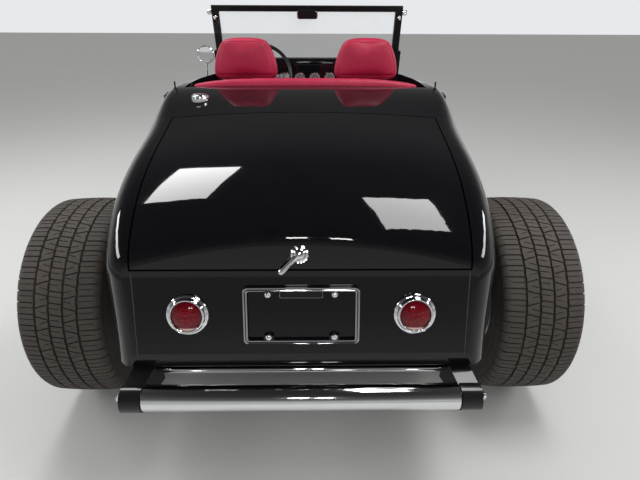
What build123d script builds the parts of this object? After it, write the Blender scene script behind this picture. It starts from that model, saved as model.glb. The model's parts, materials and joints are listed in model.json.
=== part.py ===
from build123d import *
import math
import os

os.makedirs("parts", exist_ok=True)

# Millimetres. +X is the car's right, +Y its front, +Z up. The origin lies on
# the ground under the middle of the car's length.

# driving sizes of the chassis
rear_axle_y = -1196.0
wheelbase = 2692.0
plate_setback = 500.0
rail_width = 42.0
floor_z = 450.0
floor_thickness = 12.0

# body panels
wall = 28.0
panel_gap = 5.0
body_bottom = 450.0
tail_bottom = 466.0
tail_crease_z = 508.0
tail_tilt = 15.1
tail_radius = 82.0
tail_ref_z = 618.0

# where the panels part, measured ahead of the rear axle
cockpit_rear = 557.0
lid_top = 218.0
lid_bottom_z = 736.0
tail_panel_half = 450.0
door_rear = 680.0
door_front = 1320.0
door_bottom_z = 500.0
firewall_at = 1730.0
cockpit_half_rear = 526.0
cockpit_half_front = 541.0

# hood and grille
hood_wall = 9.0
hood_clearance = 5.0
hood_front = 2585.0
hood_half = 235.0
hood_top_z = 1000.0
hood_split_rear_z = 893.0
hood_split_front_z = 862.0
shell_depth = 115.0
shell_foot = 172.0
shell_low_z = 414.0
hood_rod_radius = 4.0

# tunnel over the gearbox
tunnel_rear = 1236.0
tunnel_radius = 168.0
tunnel_z = 440.0

# running clearance of every shaft in its bore
shaft_clearance = 0.05
seat_clearance = 0.3

# ledges that doors and lid close against
ledge_thickness = 8.0
ledge_reach = 18.0


def ahead(distance):
    return rear_axle_y + distance


def block(x_range, y_range, z_range):
    size = [high - low for low, high in (x_range, y_range, z_range)]
    mid = [(high + low) / 2 for low, high in (x_range, y_range, z_range)]
    return Pos(*mid) * Box(*size)


def rod(start, end, radius):
    line = Vector(*end) - Vector(*start)
    place = Plane(origin=start, z_dir=line)
    return place * Cylinder(radius, line.length, align=(Align.CENTER, Align.CENTER, Align.MIN))


def across(radius, x_range, y, z):
    return rod((x_range[0], y, z), (x_range[1], y, z), radius)


def pair(shape):
    return [shape, mirror(shape, Plane.YZ)]


def joined(shapes):
    total = shapes[0]
    for shape in shapes[1:]:
        total = total + shape
    return total


def cut(shape, *tools):
    for tool in tools:
        shape = shape - tool
    return shape


def solids_of(shape):
    if isinstance(shape, (list, tuple)):
        return [solid for item in shape for solid in solids_of(item)]
    return list(shape.solids())


def save(name, *shapes):
    solids = [solid for solid in solids_of(list(shapes)) if solid.volume > 1.0]
    whole = solids[0] if len(solids) == 1 else Compound(solids)
    export_step(whole, f"parts/{name}.step")
    print(name, len(solids), round(whole.volume / 1000), "cm3", flush=True)


def polygon(points, plane, depth):
    outline = make_face(Polyline(*points, close=True))
    return extrude(plane * outline, depth)


# extrude a side-view outline of (y, z) points over both sides of the car's middle
def side_prism(points, half_width):
    outline = make_face(Polyline(*points, close=True))
    return extrude(Plane.YZ * outline, half_width, both=True)


# body
# station ahead of the rear axle, half width at the belt and at the bottom,
# height at the middle, drop of the crown to the belt, shoulder radius
cowl_rows = [
    (1730, 437, 428, 1046, 70, 120),
    (1450, 548, 532, 1078, 56, 90),
    (1320, 580, 556, 1078, 62, 84),
]
body_rows = cowl_rows + [
    (1000, 599, 570, 1074, 42, 82),
    (680, 606, 573, 1066, 16, 52),
    (557, 606, 573, 1060, 11, 46),
    (218, 594, 570, 1012, 30, 78),
    (-35, 582, 563, 976, 46, 80),
    (-224, 570, 554, 938, 58, 86),
    (-355, 552, 542, 888, 62, 90),
    (-450, 530, 530, 822, 62, 92),
    (-620, 452, 456, 640, 56, 92),
]


def body_section(row, inset, bottom):
    station, half_top, half_bottom, top, crown, shoulder = row
    half_top, half_bottom = half_top - inset, half_bottom - inset
    top = top - inset
    corner = (half_top, top - crown)
    edges = [
        Line((-half_bottom, bottom), (half_bottom, bottom)),
        Line((half_bottom, bottom), corner),
        ThreePointArc(corner, (0, top), (-half_top, top - crown)),
        Line((-half_top, top - crown), (-half_bottom, bottom)),
    ]
    face = make_face(edges)
    shoulders = [point for point in face.vertices() if point.Y > bottom + 40]
    face = fillet(shoulders, max(shoulder - inset, 6))
    return Plane.XZ.offset(-ahead(station)) * face


# where the tail panel's plane lies at a height
def tail_y(z, inset=0.0):
    tilt = math.radians(tail_tilt)
    return ahead(-plate_setback) + (z - tail_ref_z) * math.tan(tilt) + inset / math.cos(tilt)


def body_form(inset, bottom):
    loft_form = loft([body_section(row, inset, bottom) for row in body_rows])
    front = ahead(firewall_at - inset)
    keep = side_prism(
        [(tail_y(300, inset), 300), (front, 300), (front, 1300), (tail_y(1300, inset), 1300)], 700
    )
    form = (loft_form & keep).solids()[0]
    tail = form.faces().filter_by(GeomType.PLANE).sort_by(Axis.Y)[0]
    rims = [edge for edge in tail.edges() if edge.center().Z > bottom + 5]
    form = form.fillet(tail_radius - inset, rims)
    lip = tail_y(tail_crease_z, inset)
    return form - block((-700, 700), (lip - 200, lip), (300, tail_crease_z))


outer = body_form(0.0, body_bottom)
inner = body_form(wall, body_bottom - 6)
shell = outer - inner
print("body shell", round(shell.volume / 1000), flush=True)

cockpit = polygon(
    [
        (-cockpit_half_rear, ahead(cockpit_rear)),
        (cockpit_half_rear, ahead(cockpit_rear)),
        (cockpit_half_front, ahead(door_front + panel_gap)),
        (-cockpit_half_front, ahead(door_front + panel_gap)),
    ],
    Plane.XY.offset(900),
    300,
)

# half width of the outer skin at a station and height
def skin_x(station, z):
    probe = rod((0, ahead(station), z), (900, ahead(station), z), 0.5) & outer
    return probe.bounding_box().max.X


# raised belt bead along the cockpit, from a point at each rear corner to the firewall;
# station ahead of the rear axle, height, how proud it stands and half its height
bead_rows = [
    (468, 1020, 1.5, 1.5),
    (505, 1021, 9, 8),
    (560, 1020, 15, 12),
    (680, 1015, 13, 12),
    (1000, 1000, 10, 12),
    (1320, 984, 9, 12),
    (1728, 950, 8, 10),
]
bead_faces = [
    Plane.XZ.offset(-ahead(station)) * (Pos(skin_x(station, z), z) * Ellipse(proud, half))
    for station, z, proud, half in bead_rows
]
bead_right = loft(bead_faces, ruled=True)
shell = shell - cockpit

# half width of the lid's side seams by station ahead of the rear axle
lid_seams = [(218, 490), (-35, 480), (-224, 470), (-355, 460), (-467, 451), (-700, 451)]


def lid_prism(grow, front, low):
    right = [(half + grow, ahead(station)) for station, half in lid_seams]
    right[0] = (right[0][0], ahead(front))
    left = [(-x, y) for x, y in reversed(right)]
    return polygon(right + left, Plane.XY.offset(low), 1300 - low)


tulip_half = lid_seams[0][1]
lid_region = lid_prism(0.0, lid_top, lid_bottom_z + panel_gap)
lid_hole = lid_prism(panel_gap, lid_top + panel_gap, lid_bottom_z)
tulip_region = block(
    (-tulip_half, tulip_half), (ahead(lid_top + panel_gap), ahead(cockpit_rear + 60)), (900, 1300)
)
tail_region = block(
    (-tail_panel_half, tail_panel_half), (ahead(-800), ahead(-300)), (tail_bottom, lid_bottom_z)
)
door_span = (ahead(door_rear), ahead(door_front))
cowl_region = block((-700, 700), (ahead(door_front + panel_gap), ahead(2000)), (300, 1300))

lid = shell & lid_region
tulip = shell & tulip_region
tail_panel = shell & tail_region
cowl = shell & cowl_region
rear_shell = shell - block((-700, 700), (ahead(door_front + panel_gap), ahead(2000)), (300, 1300))
doorway = block((-700, 700), (door_span[0] - panel_gap, 900), (door_bottom_z - panel_gap, 1300))
tail_slot = block((-tail_panel_half, tail_panel_half), (ahead(-800), ahead(-300)), (300, lid_bottom_z))
tail_skirt = block((-700, 700), (ahead(-900), ahead(-400)), (300, tail_bottom))
quarters = cut(rear_shell, doorway, lid_hole, tulip_region, tail_slot, tail_skirt)
door_band = block((-700, 700), door_span, (door_bottom_z, 1300))
doors = sorted(solids_of(shell & door_band), key=lambda solid: solid.center().X)
bead_rear = bead_right & block((0, 900), (ahead(400), ahead(door_rear) - panel_gap), (800, 1300))
bead_door = bead_right & door_band
bead_cowl = bead_right & cowl_region
quarters = joined([quarters] + pair(bead_rear))
doors = pair(doors[-1] + bead_door)[::-1]
cowl = joined([cowl] + pair(bead_cowl))
print("panels", len(solids_of(quarters)), len(solids_of(lid)), len(solids_of(cowl)), flush=True)

# ledges inside the shell that the doors and the lid close against
under = body_form(wall + seat_clearance, body_bottom - 6)
ledge_inside = body_form(wall + ledge_thickness, body_bottom - 6)
ledge_fixed = inner - ledge_inside - cockpit
ledge_free = under - ledge_inside - cockpit
jamb_edge = ahead(door_rear - panel_gap)
jamb_heights = (door_bottom_z + 10, 990)
jamb_fixed = block((-700, 700), (jamb_edge - ledge_reach, jamb_edge), jamb_heights)
jamb_free = block((-700, 700), (jamb_edge, jamb_edge + panel_gap + ledge_reach), jamb_heights)
jambs = (ledge_fixed & jamb_fixed) + (ledge_free & jamb_free)
quarters = quarters + jambs
sill_half = tail_panel_half - 20
sill_fixed = block((-sill_half, sill_half), (ahead(-700), ahead(-300)), (lid_bottom_z - ledge_reach, lid_bottom_z))
sill_free = block(
    (-sill_half, sill_half), (ahead(-700), ahead(-300)), (lid_bottom_z, lid_bottom_z + panel_gap + ledge_reach)
)
tail_panel = tail_panel + ((ledge_fixed & sill_fixed) + (ledge_free & sill_free))


# height of the body's outer skin above a point
def surface_z(x, y):
    probe = rod((x, y, 600), (x, y, 1300), 0.5) & outer
    return probe.bounding_box().max.Z


# pins for a soft top at the cockpit's rear corners
pin_x, pin_at, pin_radius_top, pin_tall = 560.0, 536.0, 3.5, 30.0
pin_foot = surface_z(pin_x, ahead(pin_at))
pin_base = pin_foot + 4
pin_solid = rod((pin_x, ahead(pin_at), pin_foot - 12), (pin_x, ahead(pin_at), pin_base), 8)
pin_solid = pin_solid + rod((pin_x, ahead(pin_at), pin_foot - 12), (pin_x, ahead(pin_at), pin_foot + pin_tall), pin_radius_top)
top_pins = pair(pin_solid)
quarters = joined([quarters] + top_pins)
print("top pin base", round(pin_base, 3))

save("deck_lid", lid)
save("tulip_panel", tulip)
save("tail_panel", tail_panel)

# the hood lies between the firewall and the grille shell; its tops stop short of both
shell_rear = hood_front + hood_clearance
hood_rows = [
    (firewall_at, 435, 426, 1045, 70, 119),
    (shell_rear, hood_half, 225, hood_top_z, 46, 96),
]


def hood_form(inset, bottom):
    return loft([body_section(row, inset, bottom) for row in hood_rows], ruled=True)


hood_skin = hood_form(0, body_bottom) - hood_form(hood_wall, body_bottom - 6)
split = side_prism(
    [
        (ahead(firewall_at) - 1, hood_split_rear_z),
        (ahead(shell_rear) + 1, hood_split_front_z),
        (ahead(shell_rear) + 1, 1300),
        (ahead(firewall_at) - 1, 1300),
    ],
    700,
)
hood_band = block((-700, 700), (ahead(firewall_at + hood_clearance), ahead(hood_front)), (300, 1300))
rod_slot = hood_rod_radius + seat_clearance
hood_top = (hood_skin & split) & hood_band
hood_top = hood_top - block((-rod_slot, rod_slot), (ahead(1700), ahead(2700)), (800, 1300))
hood_sides = hood_skin - Pos(0, 0, -panel_gap) * split

# louvres: pressed ribs with a slot behind each, in a row on each side
louvre_count, louvre_pitch, louvre_tall = 22, 32.0, 250.0
louvre_proud, louvre_length, louvre_mid_z = 9.0, 20.0, 668.0
hood_lean = math.atan2(hood_rows[0][1] - hood_rows[0][2], hood_rows[0][3] - hood_rows[0][4] - body_bottom)


# half width of the hood's side skin at a station and height
def hood_side_x(station, z):
    share = (station - hood_rows[0][0]) / (hood_rows[1][0] - hood_rows[0][0])
    low = hood_rows[0][2] + share * (hood_rows[1][2] - hood_rows[0][2])
    high = hood_rows[0][1] + share * (hood_rows[1][1] - hood_rows[0][1])
    belt_rear = hood_rows[0][3] - hood_rows[0][4]
    belt_front = hood_rows[1][3] - hood_rows[1][4]
    belt = belt_rear + share * (belt_front - belt_rear)
    return low + (high - low) * (z - body_bottom) / (belt - body_bottom)


louvre_start = (firewall_at + shell_rear - (louvre_count - 1) * louvre_pitch) / 2
ribs, slots = [], []
for index in range(louvre_count):
    station = louvre_start + index * louvre_pitch
    foot = (hood_side_x(station, louvre_mid_z), ahead(station), louvre_mid_z)
    along = Vector(hood_side_x(station + 10, louvre_mid_z) - foot[0], 10, 0)
    up = Vector(hood_side_x(station, louvre_mid_z + 10) - foot[0], 0, 10)
    skin = Plane(origin=foot, x_dir=along, z_dir=along.cross(up))
    profile = make_face(
        Polyline((-2, -louvre_proud + 6.0), (-2, louvre_proud), (2, louvre_proud), (louvre_length, 0),
                 (louvre_length, -4), close=True)
    )
    body = extrude(Plane.XZ * profile, louvre_tall / 2, both=True)
    ribs.append(skin * body)
    slot = Pos(-6, 0, 0) * Box(8, louvre_tall - 10, 40)
    slots.append(skin * slot)
side_solids = sorted(solids_of(hood_sides), key=lambda solid: solid.center().X)
louvred = cut(side_solids[-1], *slots)
louvred = max(solids_of(joined([louvred] + ribs)), key=lambda solid: solid.volume)
hood_sides = pair(louvred)
hood_rod = rod(
    (0, ahead(firewall_at), hood_rows[0][3]), (0, ahead(shell_rear), hood_rows[1][3]), hood_rod_radius
)
hood_rod = hood_rod & block((-20, 20), (ahead(firewall_at), ahead(shell_rear)), (800, 1300))
tops = sorted(solids_of(hood_top), key=lambda solid: solid.center().X)
save("hood_top_left", tops[0])
save("hood_top_right", tops[-1])
save("hood_sides", hood_sides + [hood_rod])

def shield(inset):
    half = hood_half - inset
    foot = shell_foot - inset
    low, waist, belt = shell_low_z + inset, 640.0, hood_top_z - 46 - inset
    edges = [
        Line((-foot, low), (foot, low)),
        Line((foot, low), (half - 8, waist)),
        Line((half - 8, waist), (half, belt)),
        ThreePointArc((half, belt), (0, hood_top_z - inset), (-half, belt)),
        Line((-half, belt), (-half + 8, waist)),
        Line((-half + 8, waist), (-foot, low)),
    ]
    face = make_face(edges)
    tops_of = [point for point in face.vertices() if point.Y > belt - 1]
    return fillet(tops_of, 96 - inset * 0.6)


shell_front = shell_rear + shell_depth
shield_body = extrude(Plane.XZ.offset(-ahead(shell_front)) * shield(0), shell_depth)
shield_rim = 26.0
grille_mouth = extrude(Plane.XZ.offset(-ahead(shell_front + 10)) * shield(shield_rim), shell_depth + 20)
grille_shell = shield_body - grille_mouth
save("grille_shell", grille_shell)

bar_count = 21
bar_width = 7.0
bar_depth = 14.0
bar_pitch = (2 * (hood_half - shield_rim) - 10) / bar_count
grille_front = shell_front - 14
bars = []
for index in range(bar_count):
    x = (index - (bar_count - 1) / 2) * bar_pitch
    bars.append(
        block(
            (x - bar_width / 2, x + bar_width / 2),
            (ahead(grille_front - bar_depth), ahead(grille_front)),
            (380, 1010),
        )
    )
for rail_z in (470, 660, 850):
    bars.append(
        block((-260, 260), (ahead(grille_front - bar_depth - 8), ahead(grille_front - bar_depth + 1)),
              (rail_z - 6, rail_z + 6))
    )
grille_field = extrude(Plane.XZ.offset(-ahead(shell_front)) * shield(shield_rim), shell_depth)
save("grille_bars", joined(bars) & grille_field)
radiator_reach = extrude(Plane.XZ.offset(-ahead(shell_front)) * shield(shield_rim + seat_clearance), shell_depth)
radiator = block((-300, 300), (ahead(shell_rear + 2), ahead(shell_rear + 62)), (440, 930)) & radiator_reach
save("radiator", radiator)

# chassis
# station ahead of the rear axle, outer face of the rail, its underside and top
rail_rows = [
    (-488, 469, 375, 450),
    (-300, 500, 385, 450),
    (-130, 520, 408, 450),
    (150, 540, 408, 450),
    (360, 548, 330, 450),
    (1330, 540, 322, 450),
    (1730, 425, 325, 450),
    (2300, 352, 345, 450),
    (2590, 332, 366, 450),
    (2640, 329, 368, 414),
    (2800, 318, 358, 410),
    (2900, 312, 316, 362),
]


def rail_section(row):
    station, outside, low, high = row
    face = Pos(outside - rail_width / 2, (low + high) / 2) * Rectangle(rail_width, high - low)
    return Plane.XZ.offset(-ahead(station)) * face


rail = loft([rail_section(row) for row in rail_rows], ruled=True)

# rear horns carry the bumper tube
tube_radius = 37.0
tube_z = 395.0
tube_y = ahead(-578)
horn_inner, horn_outer = 436.0, 492.0
horn_start = Plane.XZ.offset(-ahead(-480)) * (Pos(439, 418) * Rectangle(60, 88))
horn_end = Plane.XZ.offset(-tube_y) * (Pos(464, tube_z) * Rectangle(56, 60))
horn = loft([horn_start, horn_end], ruled=True)
horn = horn + across(tube_radius + 1, (horn_inner, horn_outer), tube_y, tube_z)

# each crossmember: station, its half depth, underside, top, reach at each side
member_rows = [
    (-440, 18, 400, 440, 445),
    (520, 20, 345, 446, 512),
    (1100, 15, 328, 352, 500),
    (2692, 34, 382, shell_low_z, 300),
]
members = [
    block((-reach, reach), (ahead(station) - half, ahead(station) + half), (low, high))
    for station, half, low, high, reach in member_rows
]
shaft_arch = block((-56, 56), (ahead(450), ahead(600)), (300, 424))
frame = joined(pair(rail) + pair(horn) + members) - shaft_arch
save("frame_rails", frame)

spreader_radius = 9.0
spreader_y = ahead(-505)
spreader_z = 430.0
acorn_length = 15.0
bumper_tube = across(tube_radius - 1, (-horn_inner, horn_inner), tube_y, tube_z) - frame
acorn = across(17, (horn_outer, horn_outer + 8), tube_y, tube_z)
acorn = acorn + Pos(horn_outer + 8, tube_y, tube_z) * Sphere(acorn_length - 2)
acorn = acorn - block((horn_outer - 30, horn_outer), (tube_y - 30, tube_y + 30), (350, 430))
rear_spreader = across(spreader_radius, (-417, 417), spreader_y, spreader_z) - frame
front_spreader = across(spreader_radius, (-275, 275), ahead(2880), 340) - frame
save("bumper_bars", [bumper_tube, rear_spreader, front_spreader] + pair(acorn))

# floor with the gearbox tunnel and the wall behind the seats
cavity = body_form(wall + 0.0, body_bottom - 6)
floor_zone = block((-700, 700), (ahead(-420), ahead(1695)), (floor_z, floor_z + floor_thickness))
tunnel_outer = rod((0, ahead(tunnel_rear), tunnel_z), (0, ahead(1695), tunnel_z), tunnel_radius)
tunnel_inner = rod(
    (0, ahead(tunnel_rear + floor_thickness), tunnel_z), (0, ahead(1760), tunnel_z), tunnel_radius - floor_thickness
)
back_wall = block((-700, 700), (ahead(545), ahead(557)), (floor_z, 1026))
floor_pan = (cavity & floor_zone) + (cavity & back_wall)
floor_pan = floor_pan + ((cavity & tunnel_outer) & block((-300, 300), (0 - 2000, 2000), (floor_z, 900)))
floor_pan = floor_pan - tunnel_inner
door_clear = block((-700, 700), (ahead(door_rear - 8), ahead(door_front + 8)), (door_bottom_z - 8, 1300))
save("floor_pan", floor_pan)
save("quarter_panels", quarters)

# windshield
screen_at = 1452.0
screen_base_z = 1076.0
screen_rake = 12.4
screen_half = 545.0
screen_height = 306.0
post_width = 36.0
bar_height = 25.0
screen_depth = 22.0
pane_thickness = 5.0
place = Pos(0, ahead(screen_at), screen_base_z) * Rot(screen_rake, 0, 0)


def screen_block(x_range, y_half, z_range):
    return block(x_range, (-y_half, y_half), z_range)


post = screen_block((screen_half - post_width, screen_half), screen_depth / 2, (-120, screen_height))
top_bar = screen_block((-screen_half, screen_half), screen_depth / 2, (screen_height - bar_height, screen_height))
low_bar = screen_block((-screen_half, screen_half), screen_depth / 2, (-90, 16))
knob = rod((screen_half, 0, screen_height - 34), (screen_half + 24, 0, screen_height - 34), 13)
stanchion = screen_block((screen_half - 8, screen_half + 14), 15, (-130, 60))
mirror_top = screen_height - 16
mirror_head = block((-58, 58), (-34, -18), (mirror_top - 46, mirror_top))
mirror_head = fillet(mirror_head.edges().filter_by(Axis.Y), 12)
mirror_head = mirror_head + block((-8, 8), (-20, -screen_depth / 2), (mirror_top - 8, mirror_top + 8))
pane = screen_block(
    (-screen_half + post_width, screen_half - post_width), pane_thickness / 2, (16, screen_height - bar_height)
)
pane_pocket = screen_block(
    (-screen_half + post_width - 0.05, screen_half - post_width + 0.05),
    pane_thickness / 2 + 0.05,
    (15.95, screen_height - bar_height + 0.05),
)
screen = joined(pair(post) + pair(knob) + pair(stanchion) + [top_bar, low_bar, mirror_head])
screen = place * screen
screen = cut(screen, outer, bead_cowl, mirror(bead_cowl, Plane.YZ))
screen = max(solids_of(screen), key=lambda solid: solid.volume)
save("windshield_frame", screen)
save("windshield_glass", place * pane)

# dash
dash_rear = door_front - 20
dash_low = 952.0
dash_inset = 10.0
dash_form = loft([body_section(row, dash_inset, body_bottom - 6) for row in body_rows])
dash_zone = block((-534, 534), (ahead(dash_rear), ahead(door_front + panel_gap)), (dash_low, 1200))
dash = max(solids_of(dash_form & dash_zone), key=lambda solid: solid.volume)
gauge_radius = 32.5
gauge_z = 997.0
gauge_xs = (-134, -46, 42, 130)
gauge_depth = 9.0
gauges = [
    rod((x, ahead(dash_rear), gauge_z), (x, ahead(dash_rear) - gauge_depth, gauge_z), gauge_radius)
    for x in gauge_xs
]
save("gauges", gauges)

# column and steering wheel share one sloping line
wheel_centre = (-272.0, ahead(1107), 1030.0)
column_angle = 32.0
wheel_radius = 183.0
wheel_grip = 13.0
slope = math.radians(column_angle)
down = Vector(0, math.cos(slope), -math.sin(slope))
hub_point = Vector(*wheel_centre)
column_radius = 21.0
shaft_radius = 9.5
column_length = (ahead(firewall_at - wall) - wheel_centre[1]) / math.cos(slope)
column_start = hub_point + down * 22.0
column_end = hub_point + down * (column_length + 40)
column = rod(tuple(column_start), tuple(column_end), column_radius)
shaft = rod(tuple(hub_point - down * 8), tuple(column_start + down * 5), shaft_radius)
firewall_skin = block((-700, 700), (ahead(firewall_at - wall), ahead(firewall_at + 60)), (300, 1300))
column = column + shaft - firewall_skin
dash_hole = rod(tuple(column_start), tuple(column_end), column_radius + 0.0)
save("dash", cut(dash, dash_hole))
save("steering_column", column)

wheel_plane = Plane(origin=wheel_centre, x_dir=(1, 0, 0), z_dir=tuple(-down))
rim = Torus(wheel_radius, wheel_grip)
hub = Pos(0, 0, 1) * Cylinder(34, 32)
bore_depth = 10.0
bore = Pos(0, 0, -20) * Cylinder(shaft_radius + shaft_clearance, 28 + bore_depth + 20 - 10)
spokes = [
    Rot(0, 0, angle) * (Pos(wheel_radius / 2 + 8, 0, -2) * Box(wheel_radius - 26, 22, 6))
    for angle in (0, 180, 270)
]
steering = joined([rim, hub] + spokes)
steering = steering - Pos(0, 0, -3) * Cylinder(shaft_radius + shaft_clearance, 24)
save("steering_wheel", wheel_plane * steering)

# pedals on arms from the firewall, and the shifter on the tunnel
pedal_xs = (-340, -230, -150)
pedals = []
for x in pedal_xs:
    pedals.append(rod((x, ahead(1706), 770), (x, ahead(1560), 600), 7))
    pedals.append(Pos(x, ahead(1560), 600) * Rot(-50, 0, 0) * Box(60, 70, 12))
pedal_groups = [
    joined(pedals[index:index + 2]) - firewall_skin for index in range(0, len(pedals), 2)
]
shifter = rod((0, ahead(1330), 600), (0, ahead(1180), 860), 8) + Pos(0, ahead(1180), 865) * Sphere(22)
shifter = shifter + rod((0, ahead(1330), 596), (0, ahead(1330), 622), 40)
shifter = shifter - tunnel_outer
save("controls", pedal_groups + [shifter])

# seats
seat_x = 272.0
seat_half = 238.0
cushion_span = (780.0, 1230.0)
cushion_low, cushion_high = 470.0, 640.0
back_thickness = 120.0
back_low, back_high = 600.0, 1055.0
headrest_low, headrest_high = 1066.0, 1243.0
headrest_wide, headrest_narrow = 145.0, 95.0
headrest_at = 695.0
headrest_depth = 110.0


def seat_parts(x):
    cushion = block((x - seat_half, x + seat_half), (ahead(cushion_span[0]), ahead(cushion_span[1])),
                    (floor_z + floor_thickness, cushion_high))
    cushion = fillet(cushion.edges().filter_by(Axis.Z) + cushion.edges().group_by(Axis.Z)[-1], 38)
    back_points = [
        (ahead(690), floor_z + floor_thickness), (ahead(cushion_span[0] - seat_clearance), floor_z + floor_thickness),
        (ahead(cushion_span[0] - seat_clearance), 700),
        (ahead(headrest_at + 55), back_high), (ahead(headrest_at - 55), back_high), (ahead(655), 700),
    ]
    face = make_face(Polyline(*back_points, close=True))
    back = extrude(Plane.YZ.offset(x - seat_half + 8) * face, 2 * seat_half - 16)
    back = fillet(back.edges().group_by(Axis.Z)[-1], 30)
    rest_points = [
        (x - headrest_wide, headrest_low), (x + headrest_wide, headrest_low),
        (x + headrest_narrow, headrest_high), (x - headrest_narrow, headrest_high),
    ]
    rest_face = fillet(make_face(Polyline(*rest_points, close=True)).vertices(), 22)
    rest_plane = Plane.XZ.offset(-ahead(headrest_at + headrest_depth / 2))
    rest = extrude(rest_plane * rest_face, headrest_depth)
    rest = fillet(rest.edges().group_by(Axis.Y)[0] + rest.edges().group_by(Axis.Y)[-1], 20)
    stalks = [
        rod((x + side, ahead(headrest_at), back_high - 30), (x + side, ahead(headrest_at), headrest_low + 30), 6)
        for side in (-60, 60)
    ]
    return [cushion, joined([back, rest] + stalks)]


roll_radius = 24.0
roll_at = cockpit_rear + roll_radius + 0.3
roll = across(roll_radius, (-488, 488), ahead(roll_at), 1052) - quarters
save("seats", seat_parts(-seat_x), seat_parts(seat_x), roll)

# two hinges a door: their pins and outer knuckles stand on the cowl, a barrel on the door
door_axis_x = 590.0
door_axis_y = ahead(door_front + panel_gap / 2)
hinge_heights = (600.0, 900.0)
hinge_radius, hinge_pin, hinge_half, knuckle_length = 8.0, 4.0, 16.0, 14.0


def hinge_leaf(y_range, low, high):
    leaf = block((door_axis_x - 50, door_axis_x), y_range, (low, high))
    return leaf + rod((door_axis_x, door_axis_y, low), (door_axis_x, door_axis_y, high), hinge_radius)


door_leaves, cowl_leaves = [], []
for height in hinge_heights:
    barrel = hinge_leaf((ahead(door_front - 34), ahead(door_front)), height - hinge_half, height + hinge_half)
    pin_line = rod(
        (door_axis_x, door_axis_y, height - 60), (door_axis_x, door_axis_y, height + 60), hinge_pin + shaft_clearance
    )
    door_leaves.append(barrel - outer - pin_line)
    fixed_span = (ahead(door_front + panel_gap), ahead(door_front + panel_gap + 34))
    top = height + hinge_half + seat_clearance
    low = height - hinge_half - seat_clearance
    fixed = hinge_leaf(fixed_span, top, top + knuckle_length)
    fixed = fixed + hinge_leaf(fixed_span, low - knuckle_length, low) - outer
    pin_solid = rod((door_axis_x, door_axis_y, low - 2), (door_axis_x, door_axis_y, top + 2), hinge_pin)
    cowl_leaves.append(fixed + pin_solid)
right_door = joined([doors[1]] + door_leaves)
left_door = mirror(right_door, Plane.YZ)
cowl = joined([cowl] + [side for leaf in cowl_leaves for side in pair(leaf)])
cowl = cowl - tunnel_inner - tunnel_outer
doors = [left_door, right_door]
save("door_left", left_door)
save("door_right", right_door)
save("cowl", cowl)

# tail and trim
tilt_rad = math.radians(tail_tilt)
tail_normal = (0, -math.cos(tilt_rad), math.sin(tilt_rad))
tail_plane = Plane(origin=(0, tail_y(tail_ref_z), tail_ref_z), x_dir=(1, 0, 0), z_dir=tail_normal)
lamp_x = 306.0
# outer radius and height above the panel of each step of the bezel
bezel_steps = [(57.5, 8.0), (50.0, 15.0)]
lens_radius = 41.5
lens_base = 4.0
lens_proud = 23.0


def post_on_tail(x, radius, low, high):
    return Pos(x, 2, (low + high) / 2) * Cylinder(radius, high - low)


bezels, lenses = [], []
for side in (-1, 1):
    x = side * lamp_x
    steps = joined([post_on_tail(x, radius, 0.0, top) for radius, top in bezel_steps])
    bezels.append(tail_plane * (steps - post_on_tail(x, lens_radius + 0.1, lens_base, 60)))
    lens = post_on_tail(x, lens_radius, lens_base, lens_proud)
    lens = fillet(lens.edges().group_by(Axis.Z)[-1], 13)
    lenses.append(tail_plane * lens)
save("tail_lamp_bezels", bezels)
save("tail_lamp_lenses", lenses)

plate_wide, plate_high, plate_border, plate_thick = 312.0, 160.0, 13.0, 6.0
plate_standoff = 7.0
band_wide, band_high = 117.0, 28.0
bolt_pitch = (178.0, 121.0)
plate_mid = plate_standoff + plate_thick / 2
frame_face = RectangleRounded(plate_wide, plate_high, 14)
frame_face = frame_face - RectangleRounded(plate_wide - 2 * plate_border, plate_high - 2 * plate_border, 8)
frame_face = frame_face + Pos(0, plate_high / 2 - band_high / 2) * Rectangle(band_wide, band_high)
for sx in (-1, 1):
    for sy in (-1, 1):
        frame_face = frame_face + Pos(sx * bolt_pitch[0] / 2, sy * (plate_high / 2 - 12)) * Rectangle(30, 24)
plate_frame = Pos(0, 0, plate_standoff) * extrude(frame_face, plate_thick)
for sx in (-1, 1):
    for sy in (-1, 1):
        bolt_at = Pos(sx * bolt_pitch[0] / 2, sy * bolt_pitch[1] / 2)
        plate_frame = plate_frame + bolt_at * Cylinder(7, plate_standoff + 1, align=(Align.CENTER, Align.CENTER, Align.MIN))
        plate_frame = plate_frame + bolt_at * Pos(0, 0, plate_standoff + plate_thick) * Cylinder(8, 4, align=(Align.CENTER, Align.CENTER, Align.MIN))
save("licence_frame", tail_plane * plate_frame)

handle_tilt = math.radians(28.3)
handle_plane = Plane(
    origin=(-4, ahead(-447), 776), x_dir=(1, 0, 0), z_dir=(0, -math.cos(handle_tilt), math.sin(handle_tilt))
)
boss = Pos(0, 0, 0) * Cylinder(22.5, 40) + Pos(0, 0, 22) * Cylinder(10, 20)
lever = Pos(0, 0, 26) * Rot(0, 0, 225) * (Pos(28, 0, 0) * Box(69, 15, 11))
handle = handle_plane * (boss + lever)
handle = max(solids_of(handle - lid), key=lambda solid: solid.center().Z - solid.center().Y)
save("deck_handle", handle)

cap_x, cap_at, cap_radius, cap_proud = -422.0, 386.0, 35.5, 20.0
cap_top = surface_z(cap_x, ahead(cap_at)) + cap_proud
cap = Pos(cap_x, ahead(cap_at), cap_top - 20) * Cylinder(cap_radius, 40)
cap = fillet(cap.edges().group_by(Axis.Z)[-1], 8)
cap = max(solids_of(cap - shell), key=lambda solid: solid.center().Z)
save("fuel_cap", cap)

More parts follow.
